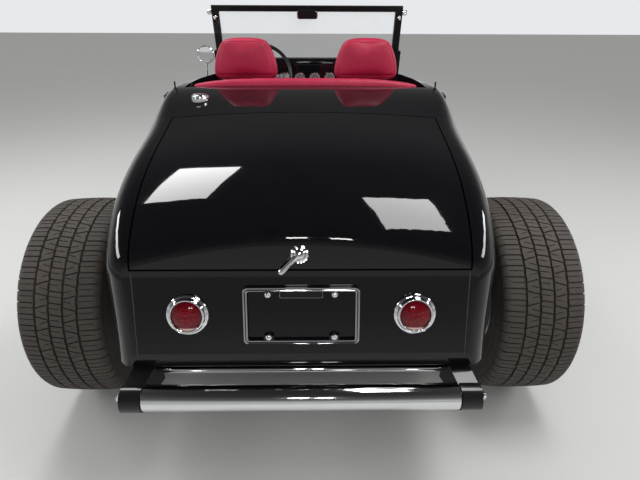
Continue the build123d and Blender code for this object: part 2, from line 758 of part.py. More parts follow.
mirror_radius = 46.0
mirror_place = (-553.0, ahead(1157), 1134.0)
side_mirror = rod(mirror_place, (mirror_place[0], mirror_place[1] + 18, mirror_place[2]), mirror_radius)
side_mirror = side_mirror + rod((-557, ahead(1162), 985), (-553, ahead(1166), 1110), 5)
side_mirror = side_mirror + rod((-557, ahead(1162), 980), (-557, ahead(1162), 1016), 14)
side_mirror = max(solids_of(side_mirror - doors[0]), key=lambda solid: solid.center().Z)
save("side_mirror", side_mirror)

# headlamps
lamp_half, headlamp_z, headlamp_at = 330.0, 735.0, 2760.0
headlamp_radius = 90.0
bucket_profile = [(0, -95), (34, -92), (66, -60), (84, -10), (headlamp_radius, 28), (headlamp_radius, 44),
                  (78, 44), (78, 30), (0, 30)]
bucket = revolve(Plane.XY * make_face(Polyline(*bucket_profile, close=True)), Axis.Y)
glass_profile = [(0, 30.3), (77.5, 30.3), (77.5, 44), (60, 52), (30, 58), (0, 60)]
lamp_glass = revolve(Plane.XY * make_face(Polyline(*glass_profile, close=True)), Axis.Y)
stand = rod((300, ahead(headlamp_at), 404), (lamp_half, ahead(headlamp_at), headlamp_z - 60), 11)
stand = stand - frame
lamp_body = Pos(lamp_half, ahead(headlamp_at), headlamp_z) * bucket + stand
save("headlamps", pair(lamp_body))
save("headlamp_lenses", pair(Pos(lamp_half, ahead(headlamp_at), headlamp_z) * lamp_glass))

# engine and running gear
engine = block((-250, 250), (ahead(1790), ahead(2330)), (300, 870))
gearbox = rod((0, ahead(tunnel_rear + 20), tunnel_z), (0, ahead(1790), tunnel_z), 130)
shaft_line = rod((0, ahead(60), 360), (0, ahead(tunnel_rear + 30), 402), 34)
driveline = engine + gearbox + shaft_line

track_front, track_rear = 1420.0, 1545.0
front_radius, rear_radius = 315.0, 366.0
rear_axle_z, front_axle_z = rear_radius, front_radius
kingpin_x = 586.0
front_y = ahead(wheelbase)

spindle_radius = 16.0
axle_tube = across(38, (-640, 640), ahead(0), rear_axle_z)
pumpkin_radius, pumpkin_depth = 80.0, 110.0
pumpkin_face = make_face(
    [
        Line((0, -pumpkin_depth), (50, -pumpkin_depth)),
        ThreePointArc((50, -pumpkin_depth), (73, -60), (pumpkin_radius, 0)),
        Line((pumpkin_radius, 0), (64, 60)),
        Line((64, 60), (44, pumpkin_depth)),
        Line((44, pumpkin_depth), (0, pumpkin_depth)),
        Line((0, pumpkin_depth), (0, -pumpkin_depth)),
    ]
)
pumpkin = Pos(0, ahead(0), rear_axle_z) * revolve(pumpkin_face, Axis.Y)
rear_axle = joined([axle_tube, pumpkin])
stub_end = 745.0
flange = across(70, (628, 642), ahead(0), rear_axle_z)
stub = across(spindle_radius, (630, stub_end), ahead(0), rear_axle_z)
lug_y = ahead(-95)
damper_x = 400.0
lower_lug = block((damper_x - 14, damper_x + 14), (lug_y - 20, ahead(20)), (236, 300))
lower_lug = lower_lug + block((damper_x - 14, damper_x + 14), (ahead(-20), ahead(20)), (236, 330))
rear_axle = joined([rear_axle] + pair(flange) + pair(stub) + pair(lower_lug))
driveline = driveline - rear_axle
save("rear_axle", rear_axle)
save("driveline", driveline)

# rods from axle to frame: start and end points and radius
link_rows = [
    ((440, ahead(0), 262), (452, ahead(506), 372), 12),
    ((350, ahead(20), 400), (300, ahead(506), 420), 11),
    ((430, front_y - 12, 214), (372, ahead(1900), 345), 17),
]
links = []
for start, end, radius in link_rows:
    links.append(rod(start, end, radius))
link_bracket = block((426, 454), (ahead(-20), ahead(20)), (240, 330))
upper_bracket = block((338, 362), (ahead(0), ahead(34)), (370, 416))
hanger = block((350, 400), (ahead(1880), ahead(1912)), (330, 380))

# front axle: dropped beam, spring over it
beam_low = 215.0
beam = across(24, (-470, 470), front_y, beam_low)
arm = rod((446, front_y, beam_low), (536, front_y, front_axle_z - 4), 21)
arm = arm + across(20, (524, kingpin_x), front_y, front_axle_z - 2)
arm = arm + Pos(536, front_y, front_axle_z - 3) * Sphere(20.5)
boss_half = 38.0
kingpin_boss = rod((kingpin_x, front_y, front_axle_z - boss_half), (kingpin_x, front_y, front_axle_z + boss_half), 24)
pin_reach = 62.0
pin_radius = 10.0
kingpin = rod((kingpin_x, front_y, front_axle_z - pin_reach), (kingpin_x, front_y, front_axle_z + pin_reach), pin_radius)
perch = block((386, 414), (front_y - 14, front_y + 14), (beam_low, 300))
front_axle = joined([beam] + pair(arm) + pair(kingpin_boss) + pair(kingpin) + pair(perch))
save("front_axle", front_axle)

spring_points = [(-414, 300.3), (0, 352), (414, 300.3), (414, 314), (0, 381.7), (-414, 314)]
spring_face = make_face(
    [
        ThreePointArc(spring_points[0], spring_points[1], spring_points[2]),
        Line(spring_points[2], spring_points[3]),
        ThreePointArc(spring_points[3], spring_points[4], spring_points[5]),
        Line(spring_points[5], spring_points[0]),
    ]
)
spring = extrude(Plane.XZ.offset(-front_y - 24) * spring_face, 48)
save("front_spring", spring)

link_solids = []
for (start, end, radius), extra in zip(link_rows, (link_bracket, upper_bracket, hanger)):
    link_solid = rod(start, end, radius) + extra
    link_solid = cut(link_solid, frame, rear_axle, front_axle)
    link_solids += pair(max(solids_of(link_solid), key=lambda solid: solid.volume))
save("suspension_links", link_solids)

# coil springs over tubes at the rear, plain tubes at the front
rear_damper = rod((damper_x, lug_y - 4, 300.3), (damper_x, lug_y - 4, 420), 30)
rear_damper = rear_damper + rod((damper_x, lug_y - 4, 310), (damper_x, lug_y - 4, 449.7), 14)
rear_bridge = block((-478, 478), (lug_y - 22, lug_y + 18), (422, 449.5)) - block((-300, 300), (-5000, 0), (0, 600))
front_damper = rod((448, front_y + 46, 240), (338, front_y + 46, 396), 17)
front_lug = block((430, 466), (front_y + 10, front_y + 64), (205, 246))
front_damper = cut(front_damper + front_lug, front_axle, frame)
damper_solids = pair(max(solids_of(front_damper), key=lambda solid: solid.volume))
bridge = cut(rear_bridge, frame)
rear_group = [max(solids_of(rear_damper + part - frame), key=lambda solid: solid.volume)
              for part in solids_of(bridge) if part.center().X > 0]
damper_solids += pair(rear_group[0])
save("dampers", damper_solids)

# exhaust pipes with a silencer each
pipe_line = rod((262, ahead(2000), 392), (255, ahead(620), 392), 24)
silencer = rod((259, ahead(1060), 392), (257, ahead(700), 392), 40)
down_turn = rod((255, ahead(622), 392), (300, ahead(560), 300), 24)
header = block((251, 275), (ahead(1850), ahead(2280)), (400, 470))
riser = rod((262, ahead(2000), 392), (262, ahead(2000), 440), 24)
exhaust = joined([pipe_line, silencer, down_turn, header, riser])
exhaust = cut(exhaust, driveline, frame)
save("exhaust", pair(max(solids_of(exhaust), key=lambda solid: solid.volume)))

# front corner
ear = 16.0
ear_gap = 0.5


def knuckle(side):
    low = front_axle_z - boss_half - ear_gap
    high = front_axle_z + boss_half + ear_gap
    x = kingpin_x
    parts = [
        rod((x, front_y, low - ear), (x, front_y, low), 24),
        rod((x, front_y, high), (x, front_y, high + ear), 24),
        block((x, 640), (front_y - 22, front_y + 22), (low - ear, low)),
        block((x, 640), (front_y - 22, front_y + 22), (high, high + ear)),
        block((622, 642), (front_y - 60, front_y + 60), (low - ear, high + ear)),
        rod((635, front_y, front_axle_z), (700, front_y, front_axle_z), spindle_radius),
        rod((626, front_y - 50, low - ear / 2), (arm_x, arm_y, tie_z + 22), 10),
        rod((arm_x, arm_y, tie_z + 14.3), (arm_x, arm_y, tie_z + 34), 15),
    ]
    whole = joined(parts)
    whole = whole - rod((x, front_y, 200), (x, front_y, 430), pin_radius + shaft_clearance)
    whole = whole + rod((arm_x, arm_y, tie_z - 14), (arm_x, arm_y, tie_z + 20), 6)
    return whole if side > 0 else mirror(whole, Plane.YZ)


arm_x = kingpin_x
arm_y = front_y - 140
tie_z = 180.0
save("knuckle_right", knuckle(1))
save("knuckle_left", knuckle(-1))
tie_rod = across(12, (-arm_x, arm_x), arm_y, tie_z)
tie_rod = joined([tie_rod] + [rod((x, arm_y, tie_z - 14), (x, arm_y, tie_z + 14), 17) for x in (-arm_x, arm_x)])
for x in (-arm_x, arm_x):
    tie_rod = tie_rod - rod((x, arm_y, tie_z - 40), (x, arm_y, tie_z + 40), 6 + shaft_clearance)
save("tie_rod", tie_rod)

# wheels
# name, sign of x, centre x, y, z, tyre radius, width, rim radius, groove rows
wheel_rows = [
    ("rear_left", -1, track_rear / 2, ahead(0), rear_axle_z, rear_radius, 275.0, 200.0, 4),
    ("rear_right", 1, track_rear / 2, ahead(0), rear_axle_z, rear_radius, 275.0, 200.0, 4),
    ("front_left", -1, track_front / 2, front_y, front_axle_z, front_radius, 195.0, 192.0, 4),
    ("front_right", 1, track_front / 2, front_y, front_axle_z, front_radius, 195.0, 192.0, 4),
]
groove_width, groove_depth = 9.0, 7.0


def tyre(radius, width, rim_radius, grooves):
    half = width / 2
    tread = half * 0.80
    bead = half * 0.80
    tall = radius - rim_radius
    crown = 5.0
    edges = [
        Line((-bead, rim_radius), (bead, rim_radius)),
        ThreePointArc((bead, rim_radius), (half, rim_radius + tall * 0.45), (half - 6, radius - tall * 0.22)),
        ThreePointArc((half - 6, radius - tall * 0.22), (half - 16, radius - tall * 0.06), (tread, radius - crown)),
        ThreePointArc((tread, radius - crown), (0, radius), (-tread, radius - crown)),
        ThreePointArc((-tread, radius - crown), (16 - half, radius - tall * 0.06), (6 - half, radius - tall * 0.22)),
        ThreePointArc((6 - half, radius - tall * 0.22), (-half, rim_radius + tall * 0.45), (-bead, rim_radius)),
    ]
    face = make_face(edges)
    for index in range(grooves):
        x = (index - (grooves - 1) / 2) * (2 * tread / (grooves + 1))
        face = face - Pos(x, radius) * Rectangle(groove_width, 2 * groove_depth)
    return revolve(face, Axis.X)


# barrel with lips, drum and five spokes; +x is outward and the middle of the tyre is x = 0
def rim(radius, width, bore_radius, face_x, stub_reach):
    half = width / 2 * 0.80
    seat = radius - seat_clearance
    lip = 12.0
    barrel_face = make_face(
        Polyline(
            (-half, seat), (half, seat), (half, seat - lip), (half - 14, seat - lip - 12),
            (-half + 14, seat - lip - 6), (-half, seat - lip), close=True,
        )
    )
    barrel = revolve(barrel_face, Axis.X)
    hub = rod((face_x - 62, 0, 0), (face_x + 16, 0, 0), 50) + rod((face_x, 0, 0), (face_x + 40, 0, 0), 30)
    spokes = []
    for index in range(5):
        spoke = loft(
            [
                Plane.XY.offset(30) * (Pos(face_x - 4, 0) * Rectangle(30, 62)),
                Plane.XY.offset(seat - 18) * (Pos(face_x, 0) * Rectangle(26, 40)),
            ]
        )
        spokes.append(Rot(72 * index, 0, 0) * spoke)
    drum = rod((face_x - 90, 0, 0), (face_x - 30, 0, 0), 138)
    whole = joined([barrel, hub, drum] + spokes)
    bore_depth = stub_reach + 3
    return whole - rod((-width, 0, 0), (bore_depth, 0, 0), bore_radius)


for name, side, x, y, z, radius, width, rim_radius, grooves in wheel_rows:
    rear = name.startswith("rear")
    stub_reach = (stub_end if rear else 700.0) - x
    face_x = 30.0 if rear else 34.0
    at = Pos(side * x, y, z) * (Rot(0, 0, 0) if side > 0 else Rot(0, 0, 180))
    wheel = rim(rim_radius, width, spindle_radius + shaft_clearance, face_x, stub_reach)
    save(f"tyre_{name}", at * tyre(radius, width, rim_radius, grooves))
    save(f"wheel_{name}", at * wheel)
print("done", flush=True)
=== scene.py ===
import json
import math
import bmesh
import bpy
import numpy as np
from mathutils import Matrix, Vector
from mathutils.bvhtree import BVHTree


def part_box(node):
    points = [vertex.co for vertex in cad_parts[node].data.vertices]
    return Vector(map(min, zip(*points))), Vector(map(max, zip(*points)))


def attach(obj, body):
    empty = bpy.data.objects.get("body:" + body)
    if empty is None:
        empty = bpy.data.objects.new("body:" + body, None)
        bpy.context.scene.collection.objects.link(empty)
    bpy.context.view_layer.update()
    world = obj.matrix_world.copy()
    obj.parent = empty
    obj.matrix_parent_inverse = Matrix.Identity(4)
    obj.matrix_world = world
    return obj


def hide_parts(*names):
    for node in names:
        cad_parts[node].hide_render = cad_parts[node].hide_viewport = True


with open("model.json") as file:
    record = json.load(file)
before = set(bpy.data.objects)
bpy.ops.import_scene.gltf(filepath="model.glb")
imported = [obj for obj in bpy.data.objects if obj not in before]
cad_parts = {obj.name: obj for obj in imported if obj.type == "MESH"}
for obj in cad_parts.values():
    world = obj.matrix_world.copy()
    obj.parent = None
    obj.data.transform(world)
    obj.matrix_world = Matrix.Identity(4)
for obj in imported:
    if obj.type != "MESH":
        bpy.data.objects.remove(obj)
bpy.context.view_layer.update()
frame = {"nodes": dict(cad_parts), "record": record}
nodes = frame["nodes"]
scene = bpy.context.scene
rearAxleY = -1.196
wheelbase = 2692  # mm
fullTurn = 2 * math.pi
bothSides = (("left", -1), ("right", 1))
print("frame loaded", len(nodes), "nodes")


def ahead(millimetres):
    # y of a place this far in front of the rear axle
    return rearAxleY + millimetres / 1000


def mm(*rows):
    # rows of millimetres, as metres
    return [tuple(value / 1000 for value in row) for row in rows]


def turns(count, first=0.0):
    return [first + fullTurn * step / count for step in range(count)]


def polar(radius, turn):
    return radius * math.cos(turn), radius * math.sin(turn)


def squircle(turn, power):
    # a point of the unit squircle: power 2 is a circle, more is squarer
    across, up = polar(1.0, turn)
    reach = (abs(across) ** power + abs(up) ** power) ** (-1 / power)
    return across * reach, up * reach


def bell(distance, wide):
    return math.exp(-((distance / wide) ** 2))


viewpoint = {
    "lens": 25.3125,  # on a 36 mm wide sensor, for a 640 x 480 picture
    "place": (0.0337, -2.689, 1.35),
    "turns": (("Z", -0.885), ("X", 63.0), ("Z", 0.256)),  # degrees, one after the other
}
camera = bpy.data.objects.new("photoCamera", bpy.data.cameras.new("photoCamera"))
camera.data.sensor_width = 36
camera.data.lens = viewpoint["lens"]
cameraPlace = Matrix.Translation(viewpoint["place"])
for axis, degrees in viewpoint["turns"]:
    cameraPlace = cameraPlace @ Matrix.Rotation(math.radians(degrees), 4, axis)
camera.matrix_world = cameraPlace
scene.collection.objects.link(camera)
scene.camera = camera


class Wire:
    # an output of a node that can stand in a sum or product
    def __init__(self, finish, socket):
        self.finish = finish
        self.socket = socket

    def join(self, operation, *values):
        return self.finish.add("ShaderNodeMath", {"operation": operation}, dict(enumerate(values)))

    def apply(self, operation):
        return self.join(operation, self)

    def __add__(self, other):
        return self.join("ADD", self, other)

    def __radd__(self, other):
        return self.join("ADD", other, self)

    def __sub__(self, other):
        return self.join("SUBTRACT", self, other)

    def __rsub__(self, other):
        return self.join("SUBTRACT", other, self)

    def __mul__(self, other):
        return self.join("MULTIPLY", self, other)

    def __rmul__(self, other):
        return self.join("MULTIPLY", other, self)

    def __truediv__(self, other):
        return self.join("DIVIDE", self, other)

    def __pow__(self, other):
        return self.join("POWER", self, other)


socketNames = {
    "colour": "Base Color", "rough": "Roughness", "metal": "Metallic", "coat": "Coat Weight",
    "coatRough": "Coat Roughness", "coatIndex": "Coat IOR", "normal": "Normal", "alpha": "Alpha",
    "index": "IOR", "sheen": "Sheen Weight", "level": "Specular IOR Level",
}


class Finish:
    # one material or sky: its nodes are made by add, and surface or close ends it
    def __init__(self, holder, where="Object"):
        self.material = bpy.data.materials.new(holder) if isinstance(holder, str) else holder
        self.material.use_nodes = True
        self.tree = self.material.node_tree
        self.tree.nodes.clear()
        self.where = self.add("ShaderNodeTexCoord", output=where)

    def add(self, kind, settings=None, inputs=None, output=0):
        node = self.tree.nodes.new(kind)
        for name, value in (settings or {}).items():
            if name == "stops":
                self.setStops(node.color_ramp.elements, value)
            else:
                setattr(node, name, value)
        for name, value in (inputs or {}).items():
            if isinstance(value, Wire):
                self.tree.links.new(value.socket, node.inputs[name])
            else:
                node.inputs[name].default_value = value
        return Wire(self, node.outputs[output])

    def setStops(self, marks, stops):
        while len(marks) < len(stops):
            marks.new(0.99)
        for mark, (position, level) in zip(marks, stops):
            mark.position = position
            mark.color = (level, level, level, 1)

    def stretched(self, x, y, z):
        return self.add("ShaderNodeVectorMath", {"operation": "MULTIPLY"}, {0: self.where, 1: (x, y, z)})

    def split(self):
        node = self.add("ShaderNodeSeparateXYZ", {}, {0: self.where}).socket.node
        return [Wire(self, socket) for socket in node.outputs]

    def cloud(self, scale, detail=4.0, rough=0.55, where=None, warp=0.0):
        inputs = {"Scale": scale, "Detail": detail, "Roughness": rough, "Distortion": warp}
        return self.add("ShaderNodeTexNoise", {}, {"Vector": where or self.where, **inputs})

    def cells(self, scale, feature="F1", spread=1.0):
        inputs = {"Vector": self.where, "Scale": scale, "Randomness": spread}
        return self.add("ShaderNodeTexVoronoi", {"feature": feature}, inputs)

    def ramp(self, value, *stops):
        return self.add("ShaderNodeValToRGB", {"stops": stops}, {0: value})

    def blend(self, mask, low, high):
        ends = {0: mask}
        for name, colour in ((6, low), (7, high)):
            ends[name] = colour if isinstance(colour, Wire) else (*colour, 1)
        return self.add("ShaderNodeMix", {"data_type": "RGBA"}, ends, output=2)

    def bump(self, height, distance, strength=1.0, over=None):
        ends = {"Height": height, "Distance": distance, "Strength": strength}
        if over:
            ends["Normal"] = over
        return self.add("ShaderNodeBump", {}, ends)

    def surface(self, **values):
        ends = {}
        for name, value in values.items():
            ends[socketNames[name]] = (*value, 1) if isinstance(value, tuple) else value
        self.close(self.add("ShaderNodeBsdfPrincipled", {}, ends, output="BSDF"))
        return self.material

    def close(self, shader, kind="ShaderNodeOutputMaterial"):
        node = self.tree.nodes.new(kind)
        self.tree.links.new(shader.socket, node.inputs["Surface"])


def scaled(colour, factor, lift=0.0):
    return tuple(part * factor + lift for part in colour)


def paintFinish(name, colour, haze, gloss):
    # gloss paint: slight orange peel, thin haze, dust in patches
    make = Finish(name)
    peel = make.cloud(260, 2)
    film = make.cloud(9, 5, warp=0.6)
    specks = make.ramp(make.cells(420), (0.0, 1), (0.045, 0))
    patches = make.ramp(make.cloud(14, 3), (0.52, 0), (0.7, 1))
    dust = specks * patches * 0.2
    colours = make.blend(dust, make.blend(film, colour, scaled(colour, 1.5)), (0.12, 0.115, 0.11))
    return make.surface(
        colour=colours, rough=gloss + film * haze + dust * 0.3, coat=1.0, coatRough=0.02, coatIndex=1.38,
        level=0.05, normal=make.bump(peel, 0.00006, 0.25),
    )


def satinFinish(name, colour):
    # chassis paint with small stone chips
    make = Finish(name)
    film = make.cloud(12, 6)
    grain = make.cloud(900, 2)
    chips = make.ramp(make.cloud(70, 6, 0.7), (0.66, 0), (0.72, 1))
    plain = make.blend(film, colour, scaled(colour, 1.6, 0.001))
    return make.surface(
        colour=make.blend(chips, plain, (0.05, 0.046, 0.042)), rough=0.26 + film * 0.14 + chips * 0.2,
        coat=0.5, coatRough=0.06, level=0.15, normal=make.bump(grain, 0.0001, 0.4),
    )


def chromeFinish(name, tint=(0.86, 0.87, 0.89)):
    # bright plate with wipe marks and a few dull spots
    make = Finish(name)
    film = make.cloud(18, 5, warp=0.4)
    wipe = make.cloud(60, 4, where=make.stretched(1, 1, 6))
    spots = make.ramp(make.cells(300), (0.0, 1), (0.06, 0))
    colours = make.blend(film * 0.5 + spots * 0.2, tint, scaled(tint, 0.78))
    return make.surface(
        colour=colours, metal=1.0, rough=0.035 + film * 0.05 + wipe * 0.03 + spots * 0.1,
        normal=make.bump(wipe, 0.00005, 0.2),
    )


def alloyFinish(name, tint, rough):
    # brushed metal with road dust in patches
    make = Finish(name)
    film = make.cloud(16, 5, warp=0.5)
    brush = make.cloud(240, 3, where=make.stretched(1, 8, 8))
    dust = make.ramp(make.cloud(30, 6), (0.5, 0), (0.75, 1))
    colours = make.blend(dust * 0.5, make.blend(film, tint, scaled(tint, 0.84)), (0.2, 0.17, 0.14))
    return make.surface(
        colour=colours, metal=make.ramp(dust, (0.0, 1), (1.0, 0.6)), rough=rough + film * 0.1 + dust * 0.2,
        normal=make.bump(brush, 0.00008, 0.3),
    )


def rubberFinish(name, colour):
    # brown-black rubber, speckled and a little dusty
    make = Finish(name)
    film = make.cloud(11, 6, warp=0.5)
    speck = make.ramp(make.cloud(190, 5, 0.7), (0.36, 0), (0.64, 1))
    grit = make.ramp(make.cells(520), (0.0, 1), (0.12, 0))
    dusty = make.blend(film * 0.45 + speck * 0.55, colour, scaled(colour, 2.9, 0.018))
    return make.surface(
        colour=make.blend(grit * 0.35, dusty, (0.2, 0.18, 0.16)), rough=0.58 + film * 0.2 + speck * 0.1,
        level=0.45, normal=make.bump(speck, 0.0004, 0.5, over=make.bump(make.cloud(900, 2), 0.00015, 0.5)),
    )


def leatherFinish(name, colour):
    # grained hide, darker in its pores and paler where it is worn
    make = Finish(name)
    grain = make.ramp(make.cells(520, "DISTANCE_TO_EDGE"), (0.0, 0), (0.16, 1))
    crease = make.cloud(34, 6, 0.6, warp=1.2)
    film = make.cloud(6, 4)
    worn = make.ramp(make.cloud(15, 6, 0.65), (0.45, 0), (0.75, 1))
    pale = (colour[0] * 1.2, colour[1] * 1.6 + 0.003, colour[2] * 1.4 + 0.003)
    hide = make.blend(grain * 0.6 + film * 0.4, scaled(colour, 0.62), colour)
    return make.surface(
        colour=make.blend(worn * 0.5, hide, pale), rough=0.38 + worn * 0.12 + (1 - grain) * 0.12,
        coat=0.06, coatRough=0.25, level=0.35,
        normal=make.bump(grain, 0.00028, 0.5, over=make.bump(crease, 0.0012, 0.35)),
    )


def carpetFinish(name, colour):
    # short pile in tufts
    make = Finish(name)
    pile = make.cloud(700, 4, 0.8)
    tufts = make.cells(380)
    film = make.cloud(10, 4)
    return make.surface(
        colour=make.blend(pile * 0.7 + film * 0.3, scaled(colour, 0.45), scaled(colour, 1.7)),
        rough=0.95, sheen=0.4, level=0.2, normal=make.bump(pile * 0.6 + tufts * 0.7, 0.0015, 0.8),
    )


def castFinish(name, colour):
    # sand-cast metal with stains
    make = Finish(name)
    sand = make.cloud(380, 4, 0.7)
    film = make.cloud(9, 5)
    stain = make.ramp(make.cloud(22, 6, 0.7), (0.52, 0), (0.7, 1))
    clean = make.blend(film, colour, scaled(colour, 1.35))
    return make.surface(
        colour=make.blend(stain * 0.6, clean, (0.06, 0.045, 0.035)), rough=0.5 + film * 0.2, metal=0.35,
        normal=make.bump(sand, 0.0007, 0.6),
    )


def coreFinish(name):
    # radiator core: fine fins between upright tubes
    make = Finish(name)
    across, _, up = make.split()
    fins = (up * 2200).apply("SINE")
    tubes = (across * 520).apply("SINE")
    film = make.cloud(14, 5)
    return make.surface(
        colour=make.blend(film, (0.035, 0.035, 0.035), (0.11, 0.1, 0.095)), metal=0.7,
        rough=0.45 + film * 0.2, normal=make.bump(fins * 0.4 + tubes, 0.0015, 0.8),
    )


def glassFinish(name, tint, alpha):
    # clear glass with faint smears
    make = Finish(name)
    film = make.cloud(5, 5, warp=0.8)
    wipe = make.cloud(40, 4, where=make.stretched(1, 1, 5))
    smear = make.ramp(film * 0.6 + wipe * 0.4, (0.45, 0), (0.72, 1))
    return make.surface(
        colour=tint, rough=0.015 + smear * 0.05, alpha=alpha + smear * 0.035, index=1.5, coat=0.6,
        coatRough=0.02, normal=make.bump(wipe, 0.00003, 0.2),
    )


lampMaker = {
    "x": 0.306, "up": 0.002, "count": 96,
    "z": 0.6203, "across": 0.0413, "tall": 0.0399,  # the lens as its finish sees it
    "lens": 0.0392, "dome": 0.0265, "fall": 0.0105, "steps": 33,
    "foot": mm((40.5, 15), (41.2, 13.5), (41.2, 4.2), (0, 4.2)),
    "bezel": mm(
        (41.4, 3), (41.4, 16.5), (42.5, 18.2), (44.5, 18.6), (46.8, 17.6), (48.2, 15.2), (48.6, 11.8),
        (49.6, 9.8), (52, 9), (54.8, 8.2), (56.8, 6), (57.5, 3.2), (57.5, 0.4), (41.4, 0.4),
    ),
}


def rubyFinish(name):
    # red lens with painted shade darkening it towards the rim, a painted highlight at the foot where light
    # gathers, painted glints, and small facets painted as lit and shaded cells under a smooth face
    make = Finish(name)
    x, _, z = make.split()
    across = (x.apply("ABSOLUTE") - lampMaker["x"]) / lampMaker["across"]
    up = (z - lampMaker["z"]) / lampMaker["tall"]
    # painted shade: a mask that darkens the lens towards its rim
    edge = make.ramp((across * across + up * up) ** 0.5, (0.55, 0), (1.0, 1))
    # painted highlight: a mask for the pale glow at the foot of the lens
    foot = make.ramp(0 - up, (0.66, 0), (0.80, 1))
    film = make.cloud(70, 4)
    spots = make.ramp(make.cells(300, "DISTANCE_TO_EDGE", spread=0.35), (0.02, 0), (0.3, 1))
    # painted light and shade: facet cells painted in a lit red and a dark red
    litFacets = make.ramp(make.cells(230), (0.05, 1), (0.6, 0))
    # painted glints: a mask of small bright specks of reflected light
    glint = make.ramp(make.cloud(420, 2), (0.56, 0), (0.70, 1))
    lit = make.blend(film, (0.34, 0.0, 0.010), (0.66, 0.003, 0.024))
    # painted shade between the painted lit facets
    cut = make.blend(spots * litFacets, (0.085, 0.0, 0.003), lit)
    # painted glints mixed in as pale red-white specks
    sparkling = make.blend(glint * spots * 0.5, cut, (0.95, 0.10, 0.14))
    # painted shade: the lens is darkened towards its rim
    colours = make.blend(edge * 0.75, sparkling, (0.07, 0.0, 0.004))
    return make.surface(
        # painted highlight: the foot of the lens is paled towards pink-white
        colour=make.blend(foot * 0.9, colours, (1.0, 0.70, 0.64)), rough=0.12 + film * 0.05, index=1.5,
        coat=0.7, coatRough=0.012, level=0.05, normal=make.bump(spots, 0.0003, 0.3),
    )


def printedFinish(name, colour, spread=0.2):
    # flat ink or thread, slightly uneven
    make = Finish(name)
    film = make.cloud(90, 5)
    fine = make.cloud(1200, 2)
    pale = tuple(min(1, part) for part in scaled(colour, 1 + spread, 0.004))
    colours = make.blend(film, colour, pale)
    return make.surface(colour=colours, rough=0.35 + film * 0.15, normal=make.bump(fine, 0.00006, 0.3))


finishes = {
    "body_black": paintFinish("bodyPaint", (0.0030, 0.0030, 0.0038), 0.04, 0.04),
    "frame_black": satinFinish("framePaint", (0.0050, 0.0050, 0.0058)),
    "chrome": chromeFinish("brightChrome"),
    "wheel_metal": alloyFinish("polishedAlloy", (0.72, 0.72, 0.74), 0.14),
    "tyre": rubberFinish("tyreRubber", (0.0235, 0.0190, 0.0155)),
    "red_leather": leatherFinish("redHide", (0.42, 0.0080, 0.0480)),
    "carpet": carpetFinish("floorPile", (0.032, 0.028, 0.03)),
    "clear_glass": glassFinish("screenGlass", (0.82, 0.9, 0.9), 0.1),
    "ruby_glass": rubyFinish("rubyLens"),
    "gauge_face": printedFinish("dialFace", (0.018, 0.018, 0.02)),
    "cast_metal": castFinish("castBlock", (0.16, 0.165, 0.17)),
    "core": coreFinish("radiatorCore"),
    # second finishes inside a piece
    "seal": rubberFinish("doorSeal", (0.012, 0.012, 0.012)),
    "dialMarks": printedFinish("dialMarks", (0.8, 0.8, 0.76), 0.05),
    "needle": printedFinish("dialNeedle", (0.75, 0.08, 0.02)),
    "silver": alloyFinish("lampReflector", (0.9, 0.9, 0.92), 0.08),
    "steel": alloyFinish("zincSteel", (0.5, 0.5, 0.5), 0.3),
    "darkAlloy": alloyFinish("brakeIron", (0.2, 0.19, 0.18), 0.42),
    "thread": printedFinish("stitchThread", (0.42, 0.012, 0.036)),
    "darkChrome": chromeFinish("darkChrome", (0.42, 0.42, 0.44)),
    "gloss": paintFinish("glossTrim", (0.006, 0.006, 0.007), 0.05, 0.09),
    "mirrorGlass": chromeFinish("mirrorGlass", (0.93, 0.94, 0.95)),
}
slotOf = {part["node"]: part["material_slot"] for part in frame["record"]["subparts"]}
for nodeName, node in nodes.items():
    node.data.materials.clear()
    node.data.materials.append(finishes[slotOf[nodeName]])
print("finishes made")


def bands(rows, count, loop=False, wrap=True):
    # faces between neighbouring rows of count points; loop joins the last row to the first
    faces = []
    for row in range(rows if loop else rows - 1):
        low = row * count
        high = (row + 1) % rows * count
        for step in range(count if wrap else count - 1):
            after = (step + 1) % count
            faces.append([low + step, low + after, high + after, high + step])
    return faces


def caps(rows, count):
    return [list(range(count))[::-1], list(range((rows - 1) * count, rows * count))]


def meshOf(name, points, faces):
    mesh = bpy.data.meshes.new(name)
    mesh.from_pydata(points, [], faces)
    mesh.update()
    return mesh


